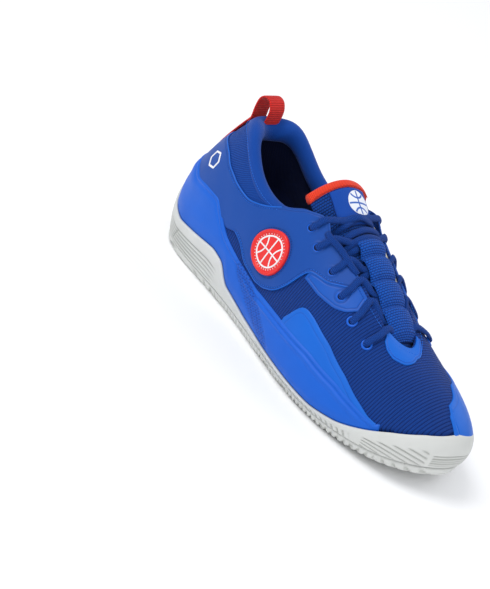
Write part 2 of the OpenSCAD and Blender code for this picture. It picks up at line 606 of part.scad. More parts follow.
// Ribbon of the pull tab through points in the middle plane, with its thickness direction
module ribbon(points) {
    n = len(points);
    skin([for (i = [0 : n - 1]) let (p = points[i],
        run = unit(points[min(i + 1, n - 1)] - points[max(i - 1, 0)]),
        side = [-run.z, 0, run.x] * tab_t / 2)
        [p - side - [0, tab_w / 2, 0], p - side + [0, tab_w / 2, 0],
            p + side + [0, tab_w / 2, 0], p + side - [0, tab_w / 2, 0]]]);
}

strip_lift = panel_lift + quarter_t + layer_gap + tab_t / 2 + 0.2;
module pull_strip() {
    color("red") ribbon([for (v = evenly(0.62, 0.96, 7)) off(0, v, strip_lift)]);
}

loop_root = off(0, 0.967, strip_lift);
module pull_loop() {
    x = loop_root.x;
    z = loop_root.z;
    color("red") ribbon([loop_root, [x + 1.5, 0, z + loop_h * 0.5], [x + 4, 0, z + loop_h * 0.85],
        [x + 7.5, 0, z + loop_h], [x + 11.5, 0, z + loop_h * 0.93], [x + 14, 0, z + loop_h * 0.7],
        [x + 14.5, 0, z + 9]]);
}

outsole();
midsole_core();
sidewall_cup();
strobel_board();
insole();
upper_mesh();
toe_puff();
heel_counter();
vamp_lining();
heel_lining();
collar_textile();
collar_roll();
quarter_lateral();
quarter_medial();
quarter_heel();
eyestay_film_lateral();
eyestay_film_medial();
forefoot_film_lateral();
forefoot_film_medial();
throat_patch();
throat_foam_lateral();
throat_foam_medial();
eyelets_lateral();
eyelets_medial();
tongue_body();
tongue_flap();
tongue_binding();
tongue_label();
tongue_webbing();
lace();
badge_disc();
badge_lines();
heel_emblem();
pull_strip();
pull_loop();
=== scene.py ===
"""Low-cut court shoe for the right foot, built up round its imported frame."""
import math

import bmesh
import bpy
import numpy as np
from mathutils import Matrix, Vector


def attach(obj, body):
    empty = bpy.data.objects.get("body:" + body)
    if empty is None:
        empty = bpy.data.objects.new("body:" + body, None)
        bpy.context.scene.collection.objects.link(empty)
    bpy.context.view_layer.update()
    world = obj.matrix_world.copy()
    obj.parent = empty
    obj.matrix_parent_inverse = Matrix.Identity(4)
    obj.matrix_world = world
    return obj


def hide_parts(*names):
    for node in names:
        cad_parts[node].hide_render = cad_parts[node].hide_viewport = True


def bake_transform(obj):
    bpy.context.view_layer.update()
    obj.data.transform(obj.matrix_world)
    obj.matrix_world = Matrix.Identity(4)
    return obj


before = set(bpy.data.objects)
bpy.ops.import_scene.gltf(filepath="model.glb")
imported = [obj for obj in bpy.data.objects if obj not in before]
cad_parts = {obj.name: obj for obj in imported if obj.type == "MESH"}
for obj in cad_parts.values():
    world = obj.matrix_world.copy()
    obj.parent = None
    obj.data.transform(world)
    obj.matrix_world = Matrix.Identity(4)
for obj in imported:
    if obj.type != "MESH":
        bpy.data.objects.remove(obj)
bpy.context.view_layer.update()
bpy.ops.object.select_all(action="DESELECT")
scene = bpy.context.scene

# ---- Last -------------------------------------------------------------------------------------
# The form that the upper is pulled over. A round of stations runs from the heel (0) to the toe
# (12) on each side, and each station climbs from the tread edge to the top line. Lengths are in
# millimetres from the middle of the outsole, and become metres when a mesh is made.
LATERAL = [[[4, 0, 6], [-10, 0, 42], [8, 0, 78], [23, 0, 106]],
           [[9, -21, 6], [-4, -26, 39], [10, -19, 77], [27, -14, 107]],
           [[28, -34, 6], [24, -41, 34], [32, -33, 78], [44, -29, 112]],
           [[58, -36, 6], [58, -44, 30], [62, -40, 64], [66, -34, 92]],
           [[90, -36, 6], [90, -44, 28], [92, -42, 60], [94, -34, 84]],
           [[120, -40, 6], [120, -47, 26], [121, -44, 64], [124, -30, 97]],
           [[150, -46, 6], [150, -53, 22], [150, -47, 62], [146, -21, 95]],
           [[180, -51, 6], [180, -58, 20], [176, -49, 58], [166, -18, 87]],
           [[208, -52, 6], [208, -58, 20], [200, -47, 54], [186, -16, 79]],
           [[238, -47, 8], [238, -52, 22], [226, -39, 52], [202, -14, 71]],
           [[266, -37, 13], [268, -40, 30], [252, -27, 54], [212, -10, 66]],
           [[286, -18, 19], [292, -19, 36], [272, -12, 57], [217, -5, 64]],
           [[292, 3, 21], [300, 3, 38], [282, 3, 59], [219, 0, 63]]]
MEDIAL = [[[9, 21, 6], [-4, 26, 39], [10, 18, 77], [27, 13, 107]],
          [[28, 34, 6], [24, 40, 34], [32, 30, 78], [42, 25, 111]],
          [[58, 34, 6], [58, 41, 30], [62, 36, 64], [65, 30, 91]],
          [[90, 29, 6], [90, 36, 28], [92, 38, 60], [94, 33, 84]],
          [[120, 29, 6], [120, 36, 26], [121, 39, 64], [124, 29, 97]],
          [[150, 36, 6], [150, 43, 22], [150, 40, 62], [146, 21, 95]],
          [[180, 46, 6], [180, 52, 20], [176, 43, 58], [166, 18, 87]],
          [[210, 52, 6], [210, 58, 20], [200, 44, 54], [186, 16, 79]],
          [[240, 49, 8], [242, 56, 22], [230, 42, 52], [202, 14, 71]],
          [[269, 39, 13], [273, 44, 30], [259, 33, 55], [212, 10, 66]],
          [[287, 21, 19], [295, 24, 36], [279, 18, 58], [217, 5, 64]]]
MIDDLE = np.array([146.2, -0.6, 0])
NET = np.array(LATERAL + MEDIAL[::-1], float) - MIDDLE
TOE = 12


def on(u, v):
    """Point of the form at station u and height v."""
    u, v = np.broadcast_arrays(np.asarray(u, float), np.asarray(v, float))
    i = np.floor(u).astype(int)
    t = u - i
    blend = np.stack([(1 - t) ** 3, 3 * t ** 3 - 6 * t ** 2 + 4,
                      -3 * t ** 3 + 3 * t ** 2 + 3 * t + 1, t ** 3], -1) / 6
    column = sum(blend[..., k, None, None] * NET[(i + k - 1) % len(NET)] for k in range(4))
    climb = np.stack([(1 - v) ** 3, 3 * v * (1 - v) ** 2, 3 * v * v * (1 - v), v ** 3], -1)
    return (column * climb[..., None]).sum(-2)


def unit(a):
    return a / (np.linalg.norm(a, axis=-1, keepdims=True) + 1e-12)


def across(u, v):
    """Change of place along the round and up the side, for one station and for the whole height."""
    w = np.clip(v, 0.01, 0.99)
    return (on(np.asarray(u) + 0.01, v) - on(np.asarray(u) - 0.01, v)) / 0.02, (
        on(u, w + 0.01) - on(u, w - 0.01)) / 0.02


def outward(u, v):
    along, up = across(u, v)
    return unit(np.cross(along, up))


def off(u, v, d):
    """Point d millimetres outside the form."""
    return on(u, v) + np.asarray(d, float)[..., None] * outward(u, v)


def ease(a, b, x):
    t = np.clip((np.asarray(x, float) - a) / (b - a), 0, 1)
    return t * t * (3 - 2 * t)


def edge_line(points):
    """Height against the station number, the same on both sides, with its corners eased."""
    x, y = np.array(points, float).T
    shifts = np.linspace(-0.15, 0.15, 9)
    weights = np.hanning(11)[1:-1] / np.hanning(11).sum()
    return lambda u: sum(w * np.interp(np.abs(np.asarray(u) + d), x, y) for w, d in zip(weights, shifts))


def rounded(values, n=5):
    """The values with their corners eased over n neighbours."""
    k = np.hanning(2 * n + 3)[1:-1]
    padded = np.pad(values, n, mode="edge")
    return np.convolve(padded, k / k.sum(), mode="valid")


# ---- Shared finishes --------------------------------------------------------------------------
# Moulded parts share a grain with mottling, and knitted or woven parts share a stitch pattern
# that is laid on the fabric's own flat measure, kept in its UV map in millimetres.
def wire(tree, kind, inputs=(), **settings):
    made = tree.nodes.new(kind)
    for key, value in settings.items():
        setattr(made, key, value)
    for key, value in dict(inputs).items():
        if isinstance(value, bpy.types.NodeSocket):
            tree.links.new(value, made.inputs[key])
        else:
            made.inputs[key].default_value = value
    return made


def calc(tree, operation, *values):
    return wire(tree, "ShaderNodeMath", enumerate(values), operation=operation).outputs[0]


def new_group(name, inputs, outputs):
    group = bpy.data.node_groups.new(name, "ShaderNodeTree")
    for label, kind, value in inputs:
        socket = group.interface.new_socket(label, in_out="INPUT", socket_type=kind)
        if value is not None:
            socket.default_value = value
    for label in outputs:
        group.interface.new_socket(label, in_out="OUTPUT", socket_type="NodeSocketFloat")
    return group, group.nodes.new("NodeGroupInput"), group.nodes.new("NodeGroupOutput")


def make_grain():
    """Fine grain and soft mottling over any moulded or coated surface."""
    group, inlet, outlet = new_group("grain", [("Vector", "NodeSocketVector", None),
                                               ("Size", "NodeSocketFloat", 900.0)],
                                     ["Height", "Mottle"])
    fine = wire(group, "ShaderNodeTexVoronoi", {"Vector": inlet.outputs["Vector"],
                                                "Scale": inlet.outputs["Size"]})
    soft = wire(group, "ShaderNodeTexNoise", {"Vector": inlet.outputs["Vector"], "Scale": 34.0,
                                              "Detail": 4.0, "Roughness": 0.6})
    broad = wire(group, "ShaderNodeTexNoise", {"Vector": inlet.outputs["Vector"], "Scale": 420.0,
                                               "Detail": 2.0})
    mixed = calc(group, "MULTIPLY_ADD", broad.outputs[0], 0.6, fine.outputs["Distance"])
    group.links.new(mixed, outlet.inputs["Height"])
    group.links.new(soft.outputs[0], outlet.inputs["Mottle"])
    return group


def make_stitch():
    """Rows of raised stitches and a mask of the gaps between them, where painted shade goes, from a place on the
    cloth in millimetres.
    """
    group, inlet, outlet = new_group(
        "stitch", [("Vector", "NodeSocketVector", None), ("Pitch along", "NodeSocketFloat", 1.0),
                   ("Pitch across", "NodeSocketFloat", 1.0), ("Stagger", "NodeSocketFloat", 0.5),
                   ("Turn", "NodeSocketFloat", 0.0)], ["Height", "Gap"])
    turned = wire(group, "ShaderNodeVectorRotate", {"Vector": inlet.outputs["Vector"],
                                                    "Angle": inlet.outputs["Turn"]},
                  rotation_type="Z_AXIS")
    split = wire(group, "ShaderNodeSeparateXYZ", {0: turned.outputs[0]})
    a = calc(group, "DIVIDE", split.outputs[0], inlet.outputs["Pitch along"])
    b = calc(group, "DIVIDE", split.outputs[1], inlet.outputs["Pitch across"])
    row = calc(group, "FLOOR", a)
    b = calc(group, "MULTIPLY_ADD", row, inlet.outputs["Stagger"], b)
    hills = [calc(group, "ABSOLUTE", calc(group, "SINE", calc(group, "MULTIPLY", x, math.pi)))
             for x in (a, b)]
    height = calc(group, "MULTIPLY", calc(group, "POWER", hills[0], 0.7),
                  calc(group, "POWER", hills[1], 0.5))
    group.links.new(height, outlet.inputs["Height"])
    low = wire(group, "ShaderNodeMapRange", {"Value": height, "From Min": 0.15, "From Max": 0.55,
                                             "To Min": 1.0, "To Max": 0.0})
    group.links.new(low.outputs[0], outlet.inputs["Gap"])
    return group


GRAIN = make_grain()
STITCH = make_stitch()


def blank(name):
    material = bpy.data.materials.new(name)
    material.use_nodes = True
    tree = material.node_tree
    return material, tree, tree.nodes["Principled BSDF"]


def moulded(name, tint, shade_and_marking_colour, rough, size=900.0, bump=0.00005, coat=0.0, worn=0.0):
    """Moulded or coated surface: its colour, a darker colour that the random mottling leans towards and that is
    painted as shade in grooves, seams and dents (the ink on printed pieces), and how rough it is.
    """
    material, tree, shader = blank(name)
    place = wire(tree, "ShaderNodeTexCoord").outputs["Object"]
    grain = wire(tree, "ShaderNodeGroup", node_tree=GRAIN)
    tree.links.new(place, grain.inputs["Vector"])
    grain.inputs["Size"].default_value = size
    # The mask read here pulls the colour towards the second colour: painted shade in grooves, seams and dents, and
    # on some pieces their own markings or print.
    painted_shade_and_markings = wire(tree, "ShaderNodeAttribute", attribute_name="painted_shade_and_markings").outputs["Fac"]
    mottle = wire(tree, "ShaderNodeMapRange", {"Value": grain.outputs["Mottle"], "From Min": 0.3,
                                               "From Max": 0.7, "To Min": 0.0, "To Max": worn + 0.12})
    dark = calc(tree, "MAXIMUM", mottle.outputs[0], painted_shade_and_markings)
    colour = wire(tree, "ShaderNodeMix", {"Factor": dark, "A": (*tint, 1), "B": (*shade_and_marking_colour, 1)},
                  data_type="RGBA")
    tree.links.new(colour.outputs["Result"], shader.inputs["Base Color"])
    gloss = wire(tree, "ShaderNodeMapRange", {"Value": grain.outputs["Mottle"], "From Min": 0.3,
                                              "From Max": 0.7, "To Min": rough - 0.05,
                                              "To Max": rough + 0.07})
    tree.links.new(gloss.outputs[0], shader.inputs["Roughness"])
    relief = wire(tree, "ShaderNodeBump", {"Height": grain.outputs["Height"], "Distance": bump,
                                           "Strength": 0.7})
    tree.links.new(relief.outputs[0], shader.inputs["Normal"])
    shader.inputs["Coat Weight"].default_value = coat
    shader.inputs["Specular IOR Level"].default_value = 0.32
    return material


def fabric(name, yarn, gap_shade, pitch, stagger=0.5, turn=0.0, rough=0.75, bump=0.0004, sheen=0.15):
    """Knit or weave: yarn colour, a darker colour painted between the yarns as the shade in the crevices of the
    weave and in its open holes, and stitch pitch in millimetres.
    """
    material, tree, shader = blank(name)
    cloth = wire(tree, "ShaderNodeUVMap", uv_map="cloth").outputs["UV"]
    stitch = wire(tree, "ShaderNodeGroup", node_tree=STITCH)
    tree.links.new(cloth, stitch.inputs["Vector"])
    for key, value in (("Pitch along", pitch[0]), ("Pitch across", pitch[1]),
                       ("Stagger", stagger), ("Turn", turn)):
        stitch.inputs[key].default_value = value
    place = wire(tree, "ShaderNodeTexCoord").outputs["Object"]
    grain = wire(tree, "ShaderNodeGroup", node_tree=GRAIN)
    tree.links.new(place, grain.inputs["Vector"])
    shift = wire(tree, "ShaderNodeMapRange", {"Value": grain.outputs["Mottle"], "From Min": 0.3,
                                              "From Max": 0.7, "To Min": -0.08, "To Max": 0.12})
    # Painted shade: the gaps between the yarns take the darker gap colour.
    dark = calc(tree, "ADD", stitch.outputs["Gap"], shift.outputs[0])
    colour = wire(tree, "ShaderNodeMix", {"Factor": dark, "A": (*yarn, 1), "B": (*gap_shade, 1)},
                  data_type="RGBA")
    tree.links.new(colour.outputs["Result"], shader.inputs["Base Color"])
    gloss = wire(tree, "ShaderNodeMapRange", {"Value": stitch.outputs["Gap"], "To Min": rough,
                                              "To Max": min(1.0, rough + 0.2)})
    tree.links.new(gloss.outputs[0], shader.inputs["Roughness"])
    relief = wire(tree, "ShaderNodeBump", {"Height": stitch.outputs["Height"], "Distance": bump,
                                           "Strength": 0.8})
    tree.links.new(relief.outputs[0], shader.inputs["Normal"])
    shader.inputs["Sheen Weight"].default_value = sheen * 0.3
    shader.inputs["Specular IOR Level"].default_value = 0.2
    return material


# ---- Outsole ----------------------------------------------------------------------------------
# One moulding of off-white rubber. Its wall cups the heel and the toe and carries curved grooves,
# and its tread has rings round the ball of the foot and ribs across the rest.
RUBBER = moulded("sole_rubber", (0.66, 0.67, 0.64), (0.27, 0.28, 0.25), 0.55, 1400.0, 0.00003)
wall_v = edge_line([[0, 0.33], [0.8, 0.31], [1.3, 0.2], [2, 0.19], [2.6, 0.24], [3.35, 0.31],
                    [3.75, 0.29], [4.1, 0.15], [5, 0.09], [6, 0.07], [8, 0.07], [8.8, 0.13],
                    [9.45, 0.22], [10, 0.3], [10.8, 0.38], [12, 0.44]])
WALL_PROUD = 0.4
TREAD_T = 3.6
GROOVE = 0.9
SPRING_FROM, SPRING, HALF_LENGTH = 55, 13, 145.5


def ground(x):
    """Height of the tread's underside, which curves up at the toe and a little at the heel."""
    toe = SPRING * (np.maximum(0, x - SPRING_FROM) / (HALF_LENGTH - SPRING_FROM)) ** 2
    return toe + 2.5 * (np.maximum(0, 12 - HALF_LENGTH - x) / 12) ** 2


def cut(distance, pitch, width):
    """1 in the grooves that repeat at a pitch, 0 on the ribs between them."""
    g = np.abs(np.mod(distance / pitch, 1) - 0.5) * pitch
    return 1 - ease(width * 0.3, width * 0.75, g)


def line(distance, width):
    return 1 - ease(width * 0.3, width * 0.75, np.abs(distance))


def tread_cut(p):
    """Depth of the tread pattern, from 0 on a rib to 1 in a groove."""
    x, y = p[..., 0], p[..., 1]
    ball = np.hypot((x - 34) * 0.92, y - 22)
    angle = np.arctan2(y - 22, x - 34)
    rings = cut(ball + 2.8, 5.6, 1.4) * ease(7, 8, ball)
    toe = cut(np.hypot(x + 12, y - 12), 4.3, 1.3)
    for seam in (-0.62, 0.1, 0.75):
        toe = toe * (1 - line((angle - seam) * ball, 2.2))
    band = np.mod((ball - 52) / 9, 1)
    bands = np.maximum(cut(angle * 60, 3.2, 1.1) * ease(0.05, 0.12, band), line((band - 0.02) * 9, 0.9))
    waist = cut(x + 0.9 * np.abs(y + 6), 4.6, 1.3) * (1 - line(np.abs(y + 6) - 1, 1.6))
    heel = cut(np.hypot(x + 96, y * 1.15), 4.8, 1.3) * (1 - line(y, 1.8)) * ease(5, 6, np.hypot(x + 96, y))
    back = np.where(x < -62, heel, waist)
    back = np.maximum(back, line(x + 62 + 0.004 * y * y, 1.4))
    outside = np.where(angle > -0.62, toe, bands)
    outside = np.where(x < -14 - 0.25 * y, back, outside)
    pattern = np.where(ball < 52, rings, outside)
    return np.maximum(pattern, line(ball - 52, 1.8) * ease(-26, -20, x))


def wall_cut(u, v):
    """Depth of the grooves on the outsole wall."""
    w = wall_v(u)
    r = v / w
    a = np.abs(u)
    heel = np.zeros_like(r)
    for c in (0.1, 0.23, 0.36, 0.49, 0.62):
        heel = np.maximum(heel, line((v - w * c) * 82, 1.1))
    heel = np.maximum(heel, line((a - 2 - 0.4 * (r - 0.3)) * 26, 1.2) * (1 - ease(0.6, 0.66, r)))
    heel *= 1 - ease(3.45, 3.85, a)
    side = cut(u + 0.1 * r, 0.155, 0.05) * ease(5.6, 6, a) * (1 - ease(9.0, 9.3, a)) * (1 - ease(0.5, 0.6, r))
    slant = cut(r + 0.5 * (a - 9.5), 0.17, 0.04) * ease(9.45, 9.5, a) * (1 - ease(11.0, 11.06, a))
    slant *= 1 - ease(0.56, 0.62, r)
    tip = np.zeros_like(r)
    for c in (0.1, 0.19, 0.28, 0.37, 0.46):
        tip = np.maximum(tip, line((v - w * c) * 72, 1.0))
    tip *= ease(11.15, 11.2, a)
    return np.maximum(np.maximum(heel, side), np.maximum(slant, tip))


def make_mesh(name, points, faces, material, cloth=None, painted_shade_and_markings=None, body="shoe", nodes=(),
              slot=None, merge=0.0):
    """Object from points in millimetres, riding on its body."""
    data = bpy.data.meshes.new(name)
    data.from_pydata((np.asarray(points).reshape(-1, 3) / 1000).tolist(), [], faces)
    data.polygons.foreach_set("use_smooth", np.ones(len(data.polygons), bool))
    if cloth is not None:
        corner = np.zeros(len(data.loops), int)
        data.loops.foreach_get("vertex_index", corner)
        layer = data.uv_layers.new(name="cloth")
        layer.data.foreach_set("uv", np.asarray(cloth, float).reshape(-1, 2)[corner].ravel())
    # Per-point mask for the moulded finish: painted shade in grooves, seams and dents, and the markings or print
    # lines of some pieces.
    if painted_shade_and_markings is not None:
        mask = data.attributes.new("painted_shade_and_markings", "FLOAT", "POINT")
        mask.data.foreach_set("value", np.asarray(painted_shade_and_markings, float).ravel().astype(np.float32))
    shell = bmesh.new()
    shell.from_mesh(data)
    if merge:
        bmesh.ops.remove_doubles(shell, verts=shell.verts, dist=merge)
    bmesh.ops.recalc_face_normals(shell, faces=shell.faces)
    shell.to_mesh(data)
    shell.free()
    made = bpy.data.objects.new(name, data)
    scene.collection.objects.link(made)
    data.materials.append(material)
    if body:
        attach(made, body)
    if nodes:
        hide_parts(*nodes)
    return made


def grid_faces(n, m, round_n=False, round_m=False):
    """Quads of a grid of n by m points that may close on itself either way."""
    i, j = np.meshgrid(np.arange(n if round_n else n - 1), np.arange(m if round_m else m - 1),
                       indexing="ij")
    k, l = (i + 1) % n, (j + 1) % m
    return np.stack([i * m + j, k * m + j, k * m + l, i * m + l], -1).reshape(-1, 4)


def toward_spine(u, f):
    """Points a share f of the way from the middle of the sole out to its edge."""
    edge = on(u, 0)
    middle = (edge + on(-u, 0)) / 2
    inner = np.stack([np.clip(middle[..., 0], -118, 108), middle[..., 1], middle[..., 2]], -1)
    return inner + (edge - inner) * np.asarray(f)[..., None]


ROUND = (np.arange(1000) + 0.5) / 1000 * 2 * TOE - TOE


def make_tread():
    f = np.concatenate([np.linspace(0, 0.9, 62), [0.925, 0.95, 0.975, 1.0]])
    u, g = np.meshgrid(ROUND, f, indexing="ij")
    flat = toward_spine(u, np.minimum(g, 0.9))
    flat[..., 2] = ground(flat[..., 0])
    corner = toward_spine(u, np.full_like(g, 0.985))
    corner[..., 2] = ground(corner[..., 0])
    t = np.clip((g - 0.9) / 0.1, 0, 1)[..., None]
    under = flat * (1 - t) ** 2 + 2 * t * (1 - t) * corner + t ** 2 * on(u, 0)
    depth = tread_cut(under) * (1 - ease(0.95, 1, g))
    up = unit(np.array([0, 0, 1.0]) * (1 - t) - outward(u, 0) * t)
    under = under + up * (1.2 * depth)[..., None]
    top_f = np.array([1.0, 0.5, 0.0])
    u2, g2 = np.meshgrid(ROUND, top_f, indexing="ij")
    top = toward_spine(u2, g2 * 0.94)
    top[..., 2] = ground(top[..., 0]) + TREAD_T
    loops = np.concatenate([under, top], 1)
    faces = grid_faces(*loops.shape[:2], round_n=True)
    # Painted shade: the mask darkens the tread grooves by their depth.
    painted_shade_and_markings = np.concatenate([depth * 0.55, np.zeros(top.shape[:2])], 1)
    return make_mesh("outsole_tread", loops, faces[:, ::-1].tolist(), RUBBER, painted_shade_and_markings=painted_shade_and_markings,
                     slot="sole_rubber", merge=1e-6)


LAYER_GAP = 0.3
WALL_FOOT, WALL_LIP = 2.6, 0.8


def wall_depth(u, v):
    w = wall_v(u)
    return (WALL_LIP + LAYER_GAP) * (1 - ease(w + 0.01, w + 0.03, v)) + (WALL_FOOT - WALL_LIP) * (
        1 - ease(w - 0.12, w, v))


def make_wall():
    rise = np.linspace(0, 1, 40)
    u, r = np.meshgrid(ROUND, rise, indexing="ij")
    v = wall_v(u) * r
    groove = wall_cut(u, v) * ease(0, 0.05, r)
    lift = WALL_PROUD + 0.8 * ease(0.2, 0.9, r) - 0.9 * ease(0.95, 1.0, r) ** 2 - GROOVE * groove
    lift = lift * ease(-0.02, 0.05, r)
    outer = off(u, v, lift)
    v2 = wall_v(ROUND)[:, None] * np.array([1.0, 0.5, 0.1])
    u2 = np.repeat(ROUND[:, None], 3, 1)
    inner = off(u2, v2, 0.6 - wall_depth(u2, v2))
    loops = np.concatenate([outer, inner], 1)
    # Painted shade: the mask darkens the grooves of the wall.
    painted_shade_and_markings = np.concatenate([groove * 0.6, np.zeros(inner.shape[:2])], 1)
    return make_mesh("outsole_wall", loops, grid_faces(*loops.shape[:2], True, True).tolist(), RUBBER,
                     painted_shade_and_markings=painted_shade_and_markings, nodes=["outsole"], slot="sole_rubber")


make_tread()
make_wall()

# ---- Midsole, board and insole ------------------------------------------------------------------
# A foam core fills the outsole. The upper is closed by a stitched board, and a loose insole with
# a knit face lies on it.
HEEL_BED, TOE_BED = 20, 11
CUP_T, CUP_PROUD, CUP_END = 2.1, 0.9, 9.75
SHELL_T, LINING_T, PUFF_T, PUFF_SEAT = 1.2, 1.2, 1.2, 1.2
cup_v = edge_line([[0, 0.57], [0.9, 0.54], [1.8, 0.51], [2.3, 0.56], [2.75, 0.61], [3.1, 0.56],
                   [3.5, 0.49], [4.1, 0.44], [5, 0.39], [5.8, 0.41], [7.4, 0.46], [8.45, 0.44],
                   [9.1, 0.38], [9.75, 0.3], [10.4, 0.2]])


def cup_top(u):
    return np.maximum(cup_v(u), wall_v(u) + 0.07)


def shell_face(u, v):
    """Depth at which the upper passes inside the outsole wall and the sidewall."""
    c = np.where(np.abs(u) < CUP_END + 0.3, cup_top(u), cup_v(u))
    return -wall_depth(u, v) - (CUP_T + LAYER_GAP) * (1 - ease(c - 0.1, c - 0.01, v))


def lining_face(u, v):
    puff = ease(8.9, 9.5, np.abs(u)) * (1 - ease(0.66, 0.74, v))
    return shell_face(u, v) - SHELL_T - LAYER_GAP - (PUFF_T + PUFF_SEAT) * puff


def bed(x):
    return ground(x) + HEEL_BED + (TOE_BED - HEEL_BED) * ease(-90, 45, x)


def level(u, height):
    """Height v at which each station reaches a level in millimetres."""
    low, high = np.zeros_like(u), np.full_like(u, 0.6)
    for _ in range(12):
        mid = (low + high) / 2
        below = on(u, mid)[..., 2] < height
        low, high = np.where(below, mid, low), np.where(below, high, mid)
    return (low + high) / 2


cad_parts["midsole_core"].data.materials.clear()
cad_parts["midsole_core"].data.materials.append(
    moulded("midsole_foam", (0.85, 0.85, 0.83), (0.7, 0.7, 0.68), 0.7, 1800.0))
BOARD = moulded("board", (0.72, 0.71, 0.68), (0.5, 0.49, 0.46), 0.85, 2500.0, 0.0001)
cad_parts["strobel_board"].data.materials.clear()
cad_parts["strobel_board"].data.materials.append(BOARD)
INSOLE = fabric("insole_knit", (0.012, 0.02, 0.07), (0.003, 0.006, 0.03), (1.6, 1.1))


def make_insole():
    us = (np.arange(240) + 0.5) / 240 * 2 * TOE - TOE
    floor = bed(on(us, 0.1)[..., 0]) + 1.8
    rows = []
    for share, lift in [(0, 0), (0.5, 0), (0.97, 0), (1, 0.8), (1, 3.0), (0.985, 3.8), (0.96, 4.1),
                        (0.9, 4.15), (0.75, 4.0), (0.5, 4.0), (0.25, 4.0), (0, 4.0)]:
        v = level(us, floor + lift)
        edge = off(us, v, lining_face(us, v) - LINING_T - 2.2)
        middle = (edge + edge[::-1]) / 2
        inner = np.stack([np.clip(middle[:, 0], -112, 100), middle[:, 1], middle[:, 2]], -1)
        p = inner + (edge - inner) * share
        p[:, 2] = bed(p[:, 0]) + 1.8 + lift
        rows.append(p)
    loops = np.stack(rows, 1)
    made = make_mesh("insole_pad", loops, grid_faces(*loops.shape[:2], round_n=True).tolist(), INSOLE,
                     cloth=loops[..., :2], nodes=["insole"], slot="insole_foam", merge=1e-6)


make_insole()

# ---- Sidewall cup -------------------------------------------------------------------------------
# A bulging blue sidewall of moulded foam rises from the outsole round the heel and along both
# sides. It has a rolled lip, a crest along the forefoot and a dotted zone at the waist.
CUP_BLUE = moulded("cup_foam", (0.0, 0.112, 0.60), (0.0, 0.04, 0.30), 0.5, 1500.0, 0.00002, 0.0)


def clustered(n, pull=0.85):
    """n values from 0 to 1, closer together near both ends."""
    t = np.linspace(0, 1, n)
    return t - pull * np.sin(2 * math.pi * t) / (2 * math.pi)


def panel(name, u_from, u_to, low, high, lift, thick, material, edge=1.0, n=160, m=40, relief=None,
          foot=0.15, under=0.1, open_ends=False, **kw):
    """Sheet on the form between two heights, rounded off along its edges. relief adds millimetres and
    a darkening mask (painted shade in grooves and dents, and markings) from u, v and the distances to the low,
    high, first and last edge."""
    us = u_from + (u_to - u_from) * clustered(n)
    f = clustered(m)
    u, g = np.meshgrid(us, f, indexing="ij")
    lo, hi = rounded(low(us), 2), rounded(high(us), 2)
    v = lo[:, None] + (hi - lo)[:, None] * g
    base = on(u, v)
    step_u = np.linalg.norm(np.diff(base, axis=0), axis=-1)
    step_v = np.linalg.norm(np.diff(base, axis=1), axis=-1)
    run_u = np.concatenate([np.zeros((1, m)), np.cumsum(step_u, 0)])
    run_v = np.concatenate([np.zeros((n, 1)), np.cumsum(step_v, 1)], 1)

    def slant(a, b):
        a, b = unit(a), unit(b)
        return np.clip(np.linalg.norm(np.cross(a, b), axis=-1), 0.2, 1)

    gu, gv = np.gradient(base, axis=0), np.gradient(base, axis=1)
    d_low = run_v * slant(gu[:, :1], gv[:, :1])
    d_high = (run_v[:, -1:] - run_v) * slant(gu[:, -1:], gv[:, -1:])
    d_first = run_u * slant(gu[:1], gv[:1])
    d_last = (run_u[-1:] - run_u) * slant(gu[-1:], gv[-1:])
    d = np.minimum(d_low, d_high)
    if not open_ends:
        d = np.minimum(d, np.minimum(d_first, d_last))
    round_off = np.sqrt(1 - (1 - np.clip(d / edge, 0, 1)) ** 2)
    height = thick * (foot + (1 - foot) * round_off)
    painted_shade_and_markings = np.zeros_like(u)
    if relief:
        extra, painted_shade_and_markings = relief(u, v, d_low, d_high, d_first, d_last)
        height = height + extra * np.clip(d / edge, 0, 1)
    floor = lift(u, v) if callable(lift) else np.full_like(u, lift)
    normal = outward(u, v)
    outer = base + normal * (floor + height)[..., None]
    inner = base + normal * (floor - under)[..., None]
    count = n * m
    index = np.arange(count).reshape(n, m)
    back = index + count
    faces = [grid_faces(n, m), grid_faces(n, m)[:, ::-1] + count]
    for a, b in ((index[:, 0], back[:, 0]), (back[:, -1], index[:, -1])):
        faces.append(np.stack([a[:-1], b[:-1], b[1:], a[1:]], -1))
    for a, b in ((index[0], back[0]), (back[-1], index[-1])):
        faces.append(np.stack([a[:-1], a[1:], b[1:], b[:-1]], -1))
    middle = run_u[:, m // 2][:, None] + np.zeros_like(run_v)
    cloth = np.stack([middle, run_v], -1)
    return make_mesh(name, np.stack([outer, inner]), np.concatenate(faces).tolist(), material,
                     cloth=np.stack([cloth, cloth]), painted_shade_and_markings=np.stack([painted_shade_and_markings, painted_shade_and_markings * 0]), **kw)


